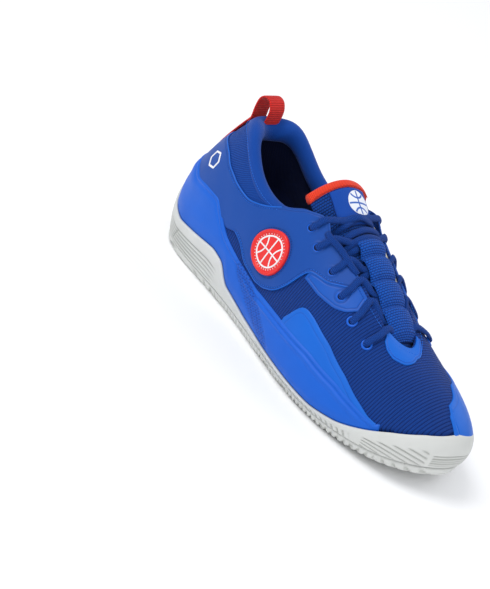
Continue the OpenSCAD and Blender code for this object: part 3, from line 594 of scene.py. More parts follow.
def cup_relief(u, v, d_low, d_high, d_first, d_last):
    a = np.abs(u)
    bulge = 1.2 * (1 - ease(1.2, 3.6, a)) * np.exp(-((d_high - 7) / 5) ** 2)
    lip = 0.7 * np.exp(-((d_high - 1.6) / 1.1) ** 2) - 0.3 * np.exp(-((d_high - 3.6) / 1.2) ** 2)
    crest = 0.9 * np.exp(-((d_high - 5.5) / 1.3) ** 2) * ease(4.3, 5, a) * (1 - ease(9, 9.5, a))
    middle = 0.42 - 0.15 * (a - 4.2)
    zone = ((a - 5.15) / 1.0) ** 4 + ((v - middle) / 0.075) ** 2
    inside = 1 - ease(0.8, 0.95, zone)
    outline = np.exp(-((zone - 1.05) / 0.07) ** 2)
    along = np.where(u > 0, d_first, d_last)
    x, y = along / 2.1, d_low / 2.1
    y = y + 0.5 * (np.floor(x) % 2)
    dots = np.hypot(np.mod(x, 1) - 0.5, np.mod(y, 1) - 0.5)
    dots = (1 - ease(0.22, 0.36, dots)) * inside
    # The mask paints shade into the dents of the dotted pattern and into the outline groove, along with the
    # pattern's own contrast, and gives the whole zone its own darker tone.
    return bulge + lip + crest - 0.45 * dots - 0.35 * outline, np.clip(
        0.85 * dots + 0.45 * outline + 0.25 * inside, 0, 1)


panel("cup_panel", -CUP_END, CUP_END, lambda u: np.maximum(wall_v(u) - 0.07, 0.02), cup_top,
      lambda u, v: -wall_depth(u, v) * (1 - ease(wall_v(u) - 0.01, wall_v(u) + 0.03, v)) - 1.1 * (
          1 - ease(wall_v(u), wall_v(u) + 0.12, v)), CUP_PROUD + 0.4, CUP_BLUE, edge=2.4, n=900, m=76,
      relief=cup_relief, foot=0.2, under=1.2, nodes=["sidewall_cup"], slot="cup_foam")

# ---- Upper shell --------------------------------------------------------------------------------
# One knitted shell with cross ribs, pulled over the last and tucked down inside the sole. Moulded
# stiffeners stand at the toe and the heel, and a padded knit lines it.
MESH = fabric("upper_mesh", (0.0, 0.042, 0.26), (0.0, 0.010, 0.085), (2.0, 1.35), 0.5, 0.0, 0.7, 0.0005)
STIFF = moulded("stiffener", (0.05, 0.05, 0.055), (0.03, 0.03, 0.03), 0.6, 1500.0)
LINING = fabric("lining_knit", (0.004, 0.012, 0.07), (0.001, 0.003, 0.02), (1.2, 1.0), 0.5, 0.3, 0.85, 0.0003)
textile_v = edge_line([[0, 0.78], [2, 0.78], [2.35, 0.76], [2.85, 0.76], [3.4, 0.8], [3.83, 0.88],
                       [4.25, 0.97]])


def shell(name, us, low, high, face, thick, rows, material, closed=False, **kw):
    """Layer of the upper between a face depth and its thickness inwards."""
    u = np.repeat(us[:, None], rows, 1)
    lo, hi = low(us)[:, None], high(us)[:, None]
    v = lo + (hi - lo) * np.linspace(0, 1, rows)
    depth = face(u, v)
    outer, inner = off(u, v, depth), off(u, v, depth - thick)
    rim = off(u[:, -1:], v[:, -1:] + 0.006, depth[:, -1:] - thick / 2)
    loops = np.concatenate([outer, rim, inner[:, ::-1]], 1)
    x, y, z = loops[..., 0], loops[..., 1], loops[..., 2]
    cloth = np.stack([x, y - np.tanh(y / 15) * (z - 60)], -1)
    n, m = loops.shape[:2]
    faces = grid_faces(n, m, closed, True).tolist()
    if not closed:
        faces += [list(range(m)), [(n - 1) * m + j for j in range(m)][::-1]]
    return make_mesh(name, loops, faces, material, cloth=cloth, **kw)


def sunk_low(u):
    return level(u, bed(on(u, 0.1)[..., 0]) + LAYER_GAP + 0.2)


def toe_round(a, n):
    return np.linspace(a, 2 * TOE - a, n)


def wrapped(u):
    return np.where(np.asarray(u) > TOE, np.asarray(u) - 2 * TOE, u)


shell("upper_shell", wrapped(toe_round(3.0, 420)), sunk_low,
      lambda u: np.where(np.abs(u) < 4.3, textile_v(u) - 0.02, 0.985), shell_face, SHELL_T, 70, MESH,
      nodes=["upper_mesh"], slot="mesh")
shell("vamp_lining_knit", wrapped(toe_round(4.95, 240)), sunk_low,
      lambda u: np.where(np.abs(u) < 9.3, 0.83, 0.95), lining_face, LINING_T, 40, LINING,
      nodes=["vamp_lining"], slot="lining")
shell("heel_lining_knit", np.linspace(-4.9, 4.9, 200), sunk_low, lambda u: 0.86 + 0 * u, lining_face,
      LINING_T, 40, LINING, nodes=["heel_lining"], slot="lining")
for node in ("toe_puff", "heel_counter"):
    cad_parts[node].data.materials.clear()
    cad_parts[node].data.materials.append(STIFF)

# ---- Collar -------------------------------------------------------------------------------------
# A woven band closes the top of the heel, and a foam roll in smooth cloth is sewn round the mouth.
# The roll thins out as it runs forward to the first eyelet.
WOVEN = fabric("collar_cloth", (0.0, 0.058, 0.34), (0.0, 0.02, 0.14), (1.3, 1.1), 0.5, 0.78, 0.75, 0.0004)
ROLL = fabric("collar_roll_cloth", (0.0, 0.06, 0.35), (0.0, 0.04, 0.25), (0.6, 0.55), 0.5, 0.0, 0.7,
              0.00012, 0.3)
panel("collar_band", -4.3, 4.3, lambda u: textile_v(u) - 0.01, lambda u: 0.985 + 0 * u, -0.5, 0.6,
      WOVEN, edge=0.6, n=300, m=40, under=0.7, nodes=["collar_textile"], slot="collar_fabric")


def sweep(name, rings, material, cloth_across=None, cap=True, **kw):
    """Closed tube through equal rings of points."""
    rings = np.asarray(rings)
    n, m = rings.shape[:2]
    centre = rings.mean(1)
    run = np.concatenate([[0], np.cumsum(np.linalg.norm(np.diff(centre, axis=0), axis=1))])
    girth = np.linalg.norm(rings[n // 2] - np.roll(rings[n // 2], 1, 0), axis=1).cumsum()
    cloth = np.stack(np.broadcast_arrays(run[:, None], girth[None]), -1)
    faces = grid_faces(n, m, False, True)
    mid = rings[n // 2]
    loop_normal = np.cross(mid - centre[n // 2], np.roll(mid, -1, 0) - centre[n // 2]).sum(0)
    ahead = centre[min(n // 2 + 1, n - 1)] - centre[n // 2 - 1]
    if loop_normal @ ahead > 0:
        faces = faces[:, ::-1]
        ends = [list(range(m))[::-1], [(n - 1) * m + j for j in range(m)]]
    else:
        ends = [list(range(m)), [(n - 1) * m + j for j in range(m)][::-1]]
    faces = faces.tolist()
    return make_mesh(name, rings, faces + (ends if cap else []), material, cloth=cloth, **kw)


def smooth_path(points, n, closed=False):
    """Even points along a smooth curve through the given ones."""
    p = np.asarray(points, float)
    q = np.vstack([2 * p[0] - p[1], p, 2 * p[-1] - p[-2]])
    out = []
    for i in range(1, len(q) - 2):
        t = np.linspace(0, 1, 24, endpoint=False)[:, None]
        a, b, c, d = q[i - 1], q[i], q[i + 1], q[i + 2]
        out.append(0.5 * (2 * b + (c - a) * t + (2 * a - 5 * b + 4 * c - d) * t ** 2
                          + (3 * b - a - 3 * c + d) * t ** 3))
    out = np.vstack(out + [p[-1:]])
    run = np.concatenate([[0], np.cumsum(np.linalg.norm(np.diff(out, axis=0), axis=1))])
    even = np.linspace(0, run[-1], n)
    return np.stack([np.interp(even, run, out[:, k]) for k in range(out.shape[1])], -1)


def make_roll():
    profile = smooth_path([(-1.6, -13), (-1.5, -9), (-0.9, -7.6), (0.5, -6.2), (0.9, -4), (0.4, -1.4),
                           (-1.2, 0.3), (-3.6, 1), (-6, 0.2), (-8, -2.2), (-8.9, -5.5), (-8.6, -9),
                           (-6.5, -12.4), (-3.5, -14), (-1.6, -13)], 45)[:-1]
    us = np.linspace(-5.05, 5.05, 260)
    k = 1 - 0.52 * ease(3.5, 5.0, np.abs(us))
    k = k * np.sqrt(np.clip((5.06 - np.abs(us)) / 0.05, 0.05, 1))
    normal = outward(us, 0.98)
    up = unit(across(us, 0.98)[1])
    a = np.abs(us)
    heel = 1 - ease(1.1, 2.5, a)
    top = on(us, 1.0 + 0.05 * ease(4.15, 4.7, a)) + up * (3.2 * heel)[:, None]
    inward = np.where(profile[:, 0] < -2, profile[:, 0] + 2, 0)
    deep = profile[:, 0] * k[:, None] + inward * (0.75 * heel)[:, None]
    rings = top[:, None] + normal[:, None] * deep[..., None] + up[:, None] * (
        profile[:, 1] * k[:, None] * (1 + 0.25 * heel[:, None]))[..., None]
    made = sweep("collar_pad", rings, ROLL, nodes=["collar_roll"], slot="collar_fabric")


make_roll()

# ---- Quarters -----------------------------------------------------------------------------------
# Smooth coated leather wraps the heel and both sides up to the eyelets. Its lower edge is tucked
# behind the sidewall at the heel, and a piping bead, coloured lighter than the leather as a painted highlight
# along the edge, and a stitch row follow its free edges.
LEATHER = moulded("quarter_leather", (0.0, 0.062, 0.34), (0.0, 0.03, 0.2), 0.5, 2400.0, 0.00003, 0.0)
# The piping is a real bead, coloured lighter than the leather as a painted highlight along the edges.
PIPING_HIGHLIGHT = moulded("piping", (0.0, 0.12, 0.58), (0.0, 0.06, 0.36), 0.4, 2400.0, 0.00001)
THREAD = moulded("thread", (0.01, 0.16, 0.72), (0.0, 0.05, 0.3), 0.6, 3000.0, 0.00001)
quarter_v = edge_line([[0, 0.4], [2.8, 0.5], [2.9, 0.6], [3.35, 0.52], [3.62, 0.58], [3.93, 0.55],
                       [4.3, 0.46], [4.88, 0.42], [5.2, 0.44], [5.52, 0.5], [5.78, 0.62],
                       [5.85, 0.71], [6.0, 0.765], [6.25, 0.785], [6.62, 0.81], [7.3, 0.91]])
EYELETS = [(5.19, 0.955), (5.69, 0.888), (6.5, 0.87), (7.21, 0.838), (7.95, 0.81), (8.73, 0.788)]


def quarter_low(u):
    a = np.abs(u)
    return np.where(a < 3.6, np.maximum(np.where(a < 3.1, 0, quarter_v(u)), cup_v(u) - 0.035), quarter_v(u))


def quarter_high(u):
    a = np.abs(u)
    front = np.interp(a, [4.25, 4.44, 4.73, 5.16, 5.42, 5.6, 5.75], [1, 1.015, 1.05, 1.06, 1.045, 1.01, 0.985])
    return np.where(a < 4.25, textile_v(u) + 0.03 * ease(2, 3, a), front)


def quarter_relief(u, v, d_low, d_high, d_first, d_last):
    free = ease(3.5, 3.7, np.abs(u))
    piping = 0.22 * np.exp(-((d_low - 0.7) / 0.5) ** 2) * free
    seam = -0.3 * np.exp(-((d_low - 1.9) / 0.35) ** 2) * free
    top = -0.3 * np.exp(-((d_high - 1.6) / 0.35) ** 2)
    ring = np.zeros_like(u)
    here = on(u, v)
    for eye in EYELETS[:3]:
        for side in (1, -1):
            d = np.linalg.norm(here - on(side * eye[0], eye[1]), axis=-1)
            ring = ring + 0.55 * np.exp(-((d - 3.4) / 0.7) ** 2) - 0.5 * (1 - ease(1.8, 2.7, d))
    fine = 0.06 * np.sin(here[..., 0] * 0.31 + here[..., 2] * 0.22)
    # The mask paints shade into the seam groove and the groove under the top edge.
    return piping + seam + top + ring + fine, np.clip(-(seam + top) * 1.2, 0, 0.6)


def stitches(name, path, lift, material, pitch=2.0, length=1.45, width=0.34, body="shoe"):
    """Row of short raised stitches along a path of (u, v) on the form."""
    path = np.asarray(path, float)
    dense = np.linspace(0, len(path) - 1, len(path) * 12)
    u = np.interp(dense, np.arange(len(path)), path[:, 0])
    v = np.interp(dense, np.arange(len(path)), path[:, 1])
    p = off(u, v, lift)
    run = np.concatenate([[0], np.cumsum(np.linalg.norm(np.diff(p, axis=0), axis=1))])
    points, faces = [], []
    for k in range(int(run[-1] / pitch)):
        s = np.interp((k + 0.5) * pitch + np.array([-0.5, -0.3, 0, 0.3, 0.5]) * length, run, dense)
        us, vs = (np.interp(s, dense, x) for x in (u, v))
        high = lift + width * np.array([-0.2, 0.45, 0.6, 0.45, -0.2])
        c = off(us, vs, high)
        n = outward(us, vs)
        ahead = unit(np.gradient(c, axis=0))
        side = np.cross(ahead, n)
        size = width * np.array([0.3, 0.9, 1, 0.9, 0.3])
        start = len(points)
        for i in range(5):
            for j in range(6):
                a = j * math.pi / 3
                points.append(c[i] + (side[i] * math.cos(a) + n[i] * math.sin(a)) * size[i] / 2 * 1.2)
        for i in range(4):
            for j in range(6):
                l = (j + 1) % 6
                faces.append([start + i * 6 + j, start + (i + 1) * 6 + j, start + (i + 1) * 6 + l,
                              start + i * 6 + l])
        faces.append([start + j for j in range(6)])
        faces.append([start + 24 + j for j in range(6)][::-1])
    return make_mesh(name, points, faces, material, body=body)


def inset_path(edge, us, distance):
    """Path that keeps a distance in millimetres above an edge."""
    v = edge(us)
    rise = np.linalg.norm(across(us, v)[1], axis=-1)
    slope = np.gradient(v * rise) / np.maximum(np.linalg.norm(np.gradient(on(us, v), axis=0), axis=1), 0.1)
    return np.stack([us, v + distance / rise * np.sqrt(1 + slope ** 2)], -1)


def bead(name, path, lift, radius, material, **kw):
    """Round bead that lies along a path of (u, v)."""
    path = np.asarray(path, float)
    p = off(path[:, 0], path[:, 1], lift)
    n = outward(path[:, 0], path[:, 1])
    side = np.cross(unit(np.gradient(p, axis=0)), n)
    a = np.arange(8) / 8 * 2 * math.pi
    rings = p[:, None] + radius * (side[:, None] * np.cos(a)[:, None] + n[:, None] * np.sin(a)[:, None])
    return sweep(name, rings, material, **kw)


for side, word in ((1, "lateral"), (-1, "medial")):
    a, b = (0, 7.3) if side > 0 else (-7.3, 0)
    panel(f"quarter_{word}_leather", a, b, quarter_low, quarter_high, 0.15, 1.1, LEATHER, edge=0.9,
          n=420, m=110, relief=quarter_relief, nodes=[f"quarter_{word}"] + (
              ["quarter_heel"] if side > 0 else []), slot="quarter_leather", open_ends=False)
    us = np.linspace(3.68, 7.1, 160)
    row = inset_path(quarter_v, us, 1.9)
    row[:, 0] *= side
    stitches(f"quarter_{word}_stitches", row, 1.12, THREAD)
    row = inset_path(quarter_v, np.linspace(3.66, 7.2, 160), 0.55)
    row[:, 0] *= side
    bead(f"quarter_{word}_piping", row, 1.05, 0.42, PIPING_HIGHLIGHT, slot="film")
    us = np.linspace(0.15, 4.2, 120)
    row = inset_path(quarter_high, us, 0)
    row[:, 0] *= side
    bead(f"collar_{word}_piping", row, 0.75, 0.5, PIPING_HIGHLIGHT, slot="film")
    row = inset_path(quarter_high, np.linspace(2.4, 4.1, 90), -1.7)
    row[:, 0] *= side
    stitches(f"collar_{word}_stitches", row, 1.12, THREAD, width=0.3)

# ---- Films and throat ---------------------------------------------------------------------------
# Thin moulded films are fused to the mesh at the eyestay, along the forefoot and at the front of
# the throat. Raw foam shows along the throat edge.
FILM = moulded("film", (0.0, 0.125, 0.60), (0.0, 0.04, 0.30), 0.45, 1800.0, 0.00002, 0.0)
FILM_DEEP = moulded("film_deep", (0.0, 0.085, 0.45), (0.0, 0.03, 0.22), 0.45, 1800.0, 0.00002, 0.0)
FOAM = moulded("edge_foam", (0.72, 0.68, 0.58), (0.5, 0.46, 0.38), 0.9, 1600.0, 0.0002)
film_side = {1: edge_line([[6.15, 0.42], [6.26, 0.5], [6.38, 0.58], [6.5, 0.612], [6.7, 0.626],
                           [7.0, 0.626], [7.8, 0.6], [8.6, 0.52], [9.27, 0.39], [9.7, 0.28]]),
             -1: edge_line([[6.3, 0.5], [7, 0.57], [8, 0.62], [9, 0.66], [10, 0.71], [10.8, 0.75],
                            [11.4, 0.7], [12, 0.66], [12.25, 0.6]])}
eyestay_low = edge_line([[5.95, 0.715], [6.58, 0.722], [7.23, 0.76], [7.6, 0.805], [7.95, 0.88]])
PATCH_RUN = [9.35, 9.5, 9.8, 10.4, 11.0, 11.65, 12.6, 14.05]
PATCH_LOW = [0.9, 0.86, 0.835, 0.845, 0.885, 0.925, 0.94, 0.96]


def film_low(u):
    return np.where(np.abs(u) < CUP_END + 0.3, cup_top(u), wall_v(u)) - 0.02


def film_relief(u, v, d_low, d_high, d_first, d_last):
    d = np.minimum(d_high, np.minimum(d_first, d_last))
    line_in = np.exp(-((d - 4) / 0.45) ** 2)
    # The mask paints shade into the groove that runs inside the edge.
    return -0.22 * line_in + 0.15 * np.exp(-((d - 2.2) / 1.2) ** 2), 0.3 * line_in


def eyestay_relief(u, v, d_low, d_high, d_first, d_last):
    d = np.minimum(np.minimum(d_low, d_high), np.minimum(d_first, d_last))
    line_in = np.exp(-((d - 2.2) / 0.4) ** 2)
    eye = np.linalg.norm(on(u, v) - on(np.sign(u) * 7.21, 0.838), axis=-1)
    ring = np.exp(-((eye - 4.6) / 0.45) ** 2)
    # The mask paints shade into the groove inside the edge and the groove round the eyelet.
    return (-0.25 * line_in - 0.3 * ring + 0.3 * np.exp(-((eye - 3.3) / 0.6) ** 2),
            np.clip(0.5 * line_in + 0.5 * ring, 0, 0.7))


def patch_relief(u, v, d_low, d_high, d_first, d_last):
    seam = np.exp(-((d_low - 1.5) / 0.4) ** 2)
    # The mask paints shade into the seam groove.
    return -0.2 * seam, 0.6 * seam


def toe_film_high(u):
    w = wrapped(u)
    return np.where(w > 0, 0.58 + 0.08 * ease(11.8, 12, w),
                    np.maximum(film_low(w) + 0.02, film_side[-1](w)))


def panel_round(name, a, b, low, high, *rest, **kw):
    """Panel that passes the tip of the toe, with stations past it counted on."""
    return panel(name, a, b, lambda u: low(wrapped(u)), high, *rest, **kw)


panel("forefoot_film_outer", 6.18, 9.65, film_low,
      lambda u: np.maximum(film_low(u) + 0.03, film_side[1](u)), 0.1, 0.75, FILM, edge=0.8, n=300, m=60,
      relief=film_relief, nodes=["forefoot_film_lateral"], slot="film")
panel_round("forefoot_film_inner", 11.78, 2 * TOE - 6.35, film_low, toe_film_high, 0.1, 0.75, FILM,
            edge=0.8, n=360, m=60, relief=film_relief, nodes=["forefoot_film_medial"], slot="film")
for side, word in ((1, "lateral"), (-1, "medial")):
    a, b = (5.98, 7.95) if side > 0 else (-7.95, -5.98)
    panel(f"eyestay_{word}_tab", a, b, eyestay_low,
          lambda u: np.maximum(eyestay_low(u) + 0.02, np.where(np.abs(u) < 7.4, quarter_v(u) + 0.012, 0.97)),
          0.1, 0.7, FILM_DEEP, edge=0.8,
          n=150, m=60, relief=eyestay_relief, nodes=[f"eyestay_film_{word}"], slot="film")
    a, b = (5.1, 9.2) if side > 0 else (-9.2, -5.1)
    panel(f"throat_{word}_edge", a, b, lambda u: 0.84 + 0 * u, lambda u: 0.992 + 0 * u, -3.0, 1.5,
          FOAM, edge=0.7, n=160, m=16, nodes=[f"throat_foam_{word}"], slot="edge_foam")
def patch_low(u):
    return rounded(np.interp(u, PATCH_RUN, PATCH_LOW), max(3, len(u) // 30))


panel("throat_front_patch", 9.35, 14.05, patch_low, lambda u: 0.985 + 0 * u, 0.1, 0.9,
      FILM, edge=0.9, n=200, m=50, relief=patch_relief, nodes=["throat_patch"], slot="film")
us = np.linspace(9.42, 13.95, 220)
row = np.stack([wrapped(us), patch_low(us) + 0.02], -1)
stitches("throat_patch_stitches", row, 0.85, THREAD, pitch=1.9, width=0.32)

# ---- Eyelets ------------------------------------------------------------------------------------
# The three upper pairs are holes pressed into the leather and the fourth goes through the film.
# The two lower pairs stand in small welded rings. Every hole is filled with a dark plug, painted shade for the
# inside of the hole.
RING = moulded("eyelet_film", (0.0, 0.11, 0.62), (0.0, 0.05, 0.35), 0.4, 2400.0, 0.00001, 0.1)
# Dark plug set in each hole: painted shade for the inside of the hole.
HOLE_SHADE = moulded("eyelet_hole_shade", (0.004, 0.007, 0.03), (0.002, 0.003, 0.015), 0.8, 2400.0)
SURFACE = [1.2, 1.2, 1.2, 0.85, 0.0, 0.0]
SPIN = np.arange(32) / 32 * 2 * math.pi


def disc_frame(u, v):
    n = outward(u, v)
    up = unit(across(u, v)[1])
    return on(u, v), np.cross(up, n), up, n


def turned(name, at, profile, material, **kw):
    """Round piece on the form: its section as pairs of radius and height, closed at the middle."""
    p, side, up, n = disc_frame(*at)
    rings = [p + n * h + r * (side * np.cos(SPIN)[:, None] + up * np.sin(SPIN)[:, None])
             for r, h in profile]
    return rings


def round_piece(name, all_rings, material, plug=False, **kw):
    """One mesh of several round sections, each a ring closed on itself or a plug with flat ends."""
    points, faces = [], []
    for rings in all_rings:
        start, m = len(points), len(SPIN)
        for ring in rings:
            points.extend(ring)
        n = len(rings)
        faces += (grid_faces(n, m, not plug, True) + start).tolist()
        if plug:
            faces += [[start + j for j in range(m)], [start + (n - 1) * m + j for j in range(m)]]
    return make_mesh(name, points, faces, material, **kw)


for side, word in ((1, "lateral"), (-1, "medial")):
    rims, hole_shade_plugs = [], []
    for k, (eu, ev) in enumerate(EYELETS):
        s, bore = SURFACE[k], 2.3
        wide, tall = (0.9, 0.42) if k < 4 else (1.5, 0.75)
        section = [(bore, s - 0.5)] + [(bore + wide * (1 - math.cos(a)) * 0.5, s + tall * math.sin(a))
                                       for a in np.linspace(0, math.pi, 9)] + [(bore + wide, s - 0.5)]
        rims.append(turned("rim", (side * eu, ev), section[::-1], RING))
        hole_shade_plugs.append(turned("hole_shade_plug", (side * eu, ev), [(bore + 0.1, s - 0.6), (bore + 0.1, s + 0.06)],
                            HOLE_SHADE))
    round_piece(f"eyelet_{word}_rings", rims, RING, nodes=[f"eyelets_{word}"], slot="eyelet")
    round_piece(f"eyelet_{word}_holes", hole_shade_plugs, HOLE_SHADE, plug=True, slot="eyelet")

# ---- Tongue -------------------------------------------------------------------------------------
# A padded open-mesh tongue lies under the throat. Its free top end carries a label and a bright
# edge binding.
TONGUE_MESH = fabric("tongue_mesh", (0.0, 0.05, 0.29), (0.0, 0.004, 0.03), (2.0, 1.8), 0.5, 0.0, 0.75, 0.0006)
BINDING = fabric("edge_binding", (0.90, 0.055, 0.015), (0.55, 0.02, 0.008), (1.1, 0.9), 0.5, 0.7, 0.6,
                 0.0003, 0.3)
LABEL = fabric("tongue_label", (0.0, 0.062, 0.38), (0.0, 0.045, 0.3), (0.5, 0.5), 0.5, 0.0, 0.6, 0.0001)
TONGUE = np.array([(106, 115, 4.1, 0.0154), (110, 113, 4, 0.0154), (119, 108.5, 3.6, 0.0154),
                   (125, 105.5, 3.2, 0.016), (140, 98.5, 2.4, 0.017), (155, 91, 1.8, 0.018),
                   (170, 84.5, 1.4, 0.019), (185, 77.5, 1, 0.02), (200, 69.5, 0.6, 0.02),
                   (212, 63, 0.3, 0.02), (222, 57.5, 0, 0.02), (230, 53.5, 0, 0.02)])
TONGUE_UP = np.array([0.42, 0, 0.91]) / math.hypot(0.42, 0.91)


def tongue_at(x, y, h):
    """Point at x along the tongue, y across from its own centre line and h above its face."""
    x, y, h = np.broadcast_arrays(np.asarray(x, float), np.asarray(y, float), np.asarray(h, float))
    value = [np.interp(x, TONGUE[:, 0], TONGUE[:, k]) for k in (1, 2, 3)]
    turn = 0.07 * np.clip((x - 120) / 10, 0, 1)
    z = value[0] - value[2] * y ** 2 - turn * np.maximum(0, np.abs(y) - 13) ** 2
    return np.stack([x, y + value[1], z], -1) - MIDDLE + h[..., None] * TONGUE_UP


def throat_at(x, y, h):
    return tongue_at(x, np.asarray(y) - np.interp(x, TONGUE[:, 0], TONGUE[:, 2]), h)


def make_tongue():
    xs = np.linspace(109, 228, 120)
    a = np.linspace(0, 2 * math.pi, 56, endpoint=False)
    width = np.interp(xs, [108, 120, 132, 150, 185, 212, 230], [26.5, 26, 22.5, 22, 18, 13, 9])
    depth = 6 + (2.5 - 6) * ease(120, 225, xs)
    end = np.sqrt(np.clip((xs - 108.2) / 2.2, 0.2, 1))
    y = np.sign(np.cos(a)) * np.abs(np.cos(a)) ** 0.55
    z = np.sign(np.sin(a)) * np.abs(np.sin(a)) ** 0.75
    crown = 0.5 * np.maximum(z, 0)[None] * np.cos(y * 1.5)[None]
    h = -depth[:, None] / 2 + depth[:, None] / 2 * z[None] * end[:, None] + crown
    rings = tongue_at(xs[:, None], width[:, None] * y[None], h)
    made = sweep("tongue_pad", rings, TONGUE_MESH, nodes=["tongue_body", "tongue_flap"],
                 slot="tongue_mesh", body=None)
    return made


def across_joint(made):
    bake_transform(made)
    return made


tongue_pad = make_tongue()
across_joint(tongue_pad)


def strip_on_tongue(name, xs, ys, low, high, material, mask=None, **kw):
    """Thin sheet laid on the tongue between two heights, given as functions of x and y."""
    x, y = np.meshgrid(xs, ys, indexing="ij")
    top, under = tongue_at(x, y, high(x, y)), tongue_at(x, y, low(x, y))
    n, m = x.shape
    index = np.arange(n * m).reshape(n, m)
    back = index + n * m
    faces = [grid_faces(n, m), grid_faces(n, m)[:, ::-1] + n * m]
    for a, b in ((index[:, 0], back[:, 0]), (back[:, -1], index[:, -1])):
        faces.append(np.stack([a[:-1], b[:-1], b[1:], a[1:]], -1))
    for a, b in ((index[0], back[0]), (back[-1], index[-1])):
        faces.append(np.stack([a[:-1], a[1:], b[1:], b[:-1]], -1))
    cloth = np.stack([x, y], -1)
    return make_mesh(name, np.stack([top, under]), np.concatenate(faces).tolist(), material,
                     cloth=np.stack([cloth, cloth]),
                     painted_shade_and_markings=None if mask is None else np.stack([mask(x, y)] * 2), **kw)


def label_rise(x, y):
    edge = np.minimum(np.minimum(x - 112.4, 136.6 - x), 16 - np.abs(y))
    return 1.15 + 0.55 * np.sqrt(np.clip(edge / 1.2, 0.02, 1))


across_joint(strip_on_tongue("tongue_label_patch", np.linspace(112.4, 136.6, 60),
                             16 * (2 * clustered(60, 0.6) - 1), lambda x, y: 0.1 + 0 * x, label_rise,
                             LABEL, nodes=["tongue_label"], slot="label", body=None))

BALL_WHITE = moulded("ball_print", (0.82, 0.84, 0.88), (0.0, 0.09, 0.46), 0.5, 2400.0, 0.00001)


def make_ball_print():
    """Plain ball drawn with seam lines, printed on the label."""
    r, a = np.meshgrid(np.linspace(0.01, 9.6, 56), np.linspace(0, 2 * math.pi, 128, endpoint=False),
                       indexing="ij")
    px, py = r * np.cos(a), r * np.sin(a)
    x, y = 122.6 + px * 0.86, 4.6 + py
    seam = np.maximum(line(px, 1.3), line(py, 1.3))
    for s in (1, -1):
        seam = np.maximum(seam, line(np.hypot(px - s * 10.4, py) - 6.6, 1.3))
    seam = seam * (r < 9.2)
    top = tongue_at(x, y, label_rise(x, y) + 0.22)
    under = tongue_at(x, y, label_rise(x, y) - 0.3)
    loops = np.concatenate([top, under[::-1]], 0)
    n, m = loops.shape[:2]
    faces = grid_faces(n, m, False, True).tolist()
    made = make_mesh("tongue_ball_print", loops, faces, BALL_WHITE,
                     painted_shade_and_markings=np.concatenate([seam, seam[::-1]], 0), body=None, slot="label", merge=3e-5)
    return across_joint(made)


make_ball_print()


def make_binding():
    ys = np.linspace(-27, 27, 100)
    a = np.linspace(0, 2 * math.pi, 28, endpoint=False)
    ends = np.sqrt(np.clip((27.3 - np.abs(ys)) / 2.2, 0.12, 1))
    x = 109.2 + 3.1 * np.sign(np.cos(a)) * np.abs(np.cos(a)) ** 0.7
    h = -2.9 + 4.3 * np.sign(np.sin(a)) * np.abs(np.sin(a)) ** 0.75
    rings = tongue_at(x[None] + 0 * ys[:, None], ys[:, None] + 0 * x[None],
                      -2.9 + (h[None] + 2.9) * ends[:, None])
    made = sweep("tongue_edge_binding", rings, BINDING, nodes=["tongue_binding"], slot="binding",
                 body="tongue_top")
    points, faces = [], []
    for k, y in enumerate(np.arange(-25.5, 25.6, 1.5)):
        x0 = 110.4 if k % 2 else 111.7
        x1 = 111.7 if k % 2 else 110.4
        c = tongue_at(np.linspace(x0, x1, 4), np.linspace(y - 0.55, y + 0.55, 4),
                      1.16 + 0.22 * np.sin(np.linspace(0, math.pi, 4)))
        side = unit(np.cross(c[-1] - c[0], TONGUE_UP))
        start = len(points)
        for p in c:
            points += [p + 0.22 * (side * math.cos(t) + TONGUE_UP * math.sin(t))
                       for t in np.arange(6) * math.pi / 3]
        faces += (grid_faces(4, 6, False, True)[:, ::-1] + start).tolist()
        faces += [[start + j for j in range(6)][::-1], [start + 18 + j for j in range(6)]]
    make_mesh("tongue_binding_stitches", points, faces, moulded(
        "binding_thread", (0.55, 0.03, 0.02), (0.25, 0.01, 0.01), 0.7, 2400.0), body="tongue_top")
    return made


make_binding()

# ---- Tongue webbing -----------------------------------------------------------------------------
# A wide woven band runs down the tongue over the laces and is sewn down between the crossings.
WEBBING = fabric("webbing", (0.0, 0.085, 0.46), (0.0, 0.02, 0.16), (1.5, 2.1), 0.5, 0.0, 0.65, 0.0009)
ROW_X = [float(on(u, v)[0] + MIDDLE[0]) for u, v in EYELETS]
LACE_T = 2.6


def webbing_route():
    xs, hs = [], []
    for first, last in ((149, ROW_X[2] - 1), (ROW_X[2] + 2, ROW_X[3] - 1), (ROW_X[3] + 2, ROW_X[4] - 1),
                        (ROW_X[4] + 2, ROW_X[5] + 1)):
        xs += [first - 1.5, first + 1, (first + last) / 2 - 0.5, last - 2.5]
        hs += [2.6, 5.6, 6.3, 5.4]
    xs, hs = np.array(xs + [ROW_X[5] + 4]), np.array(hs + [1.0])
    run = np.concatenate([[0], np.cumsum(np.hypot(np.diff(xs), np.diff(hs)))])
    even = np.linspace(0, run[-1], 420)
    x, h = np.interp(even, run, xs), np.interp(even, run, hs)
    n = int(2.0 / (even[1] - even[0]))
    return rounded(x, n), rounded(h, n), even


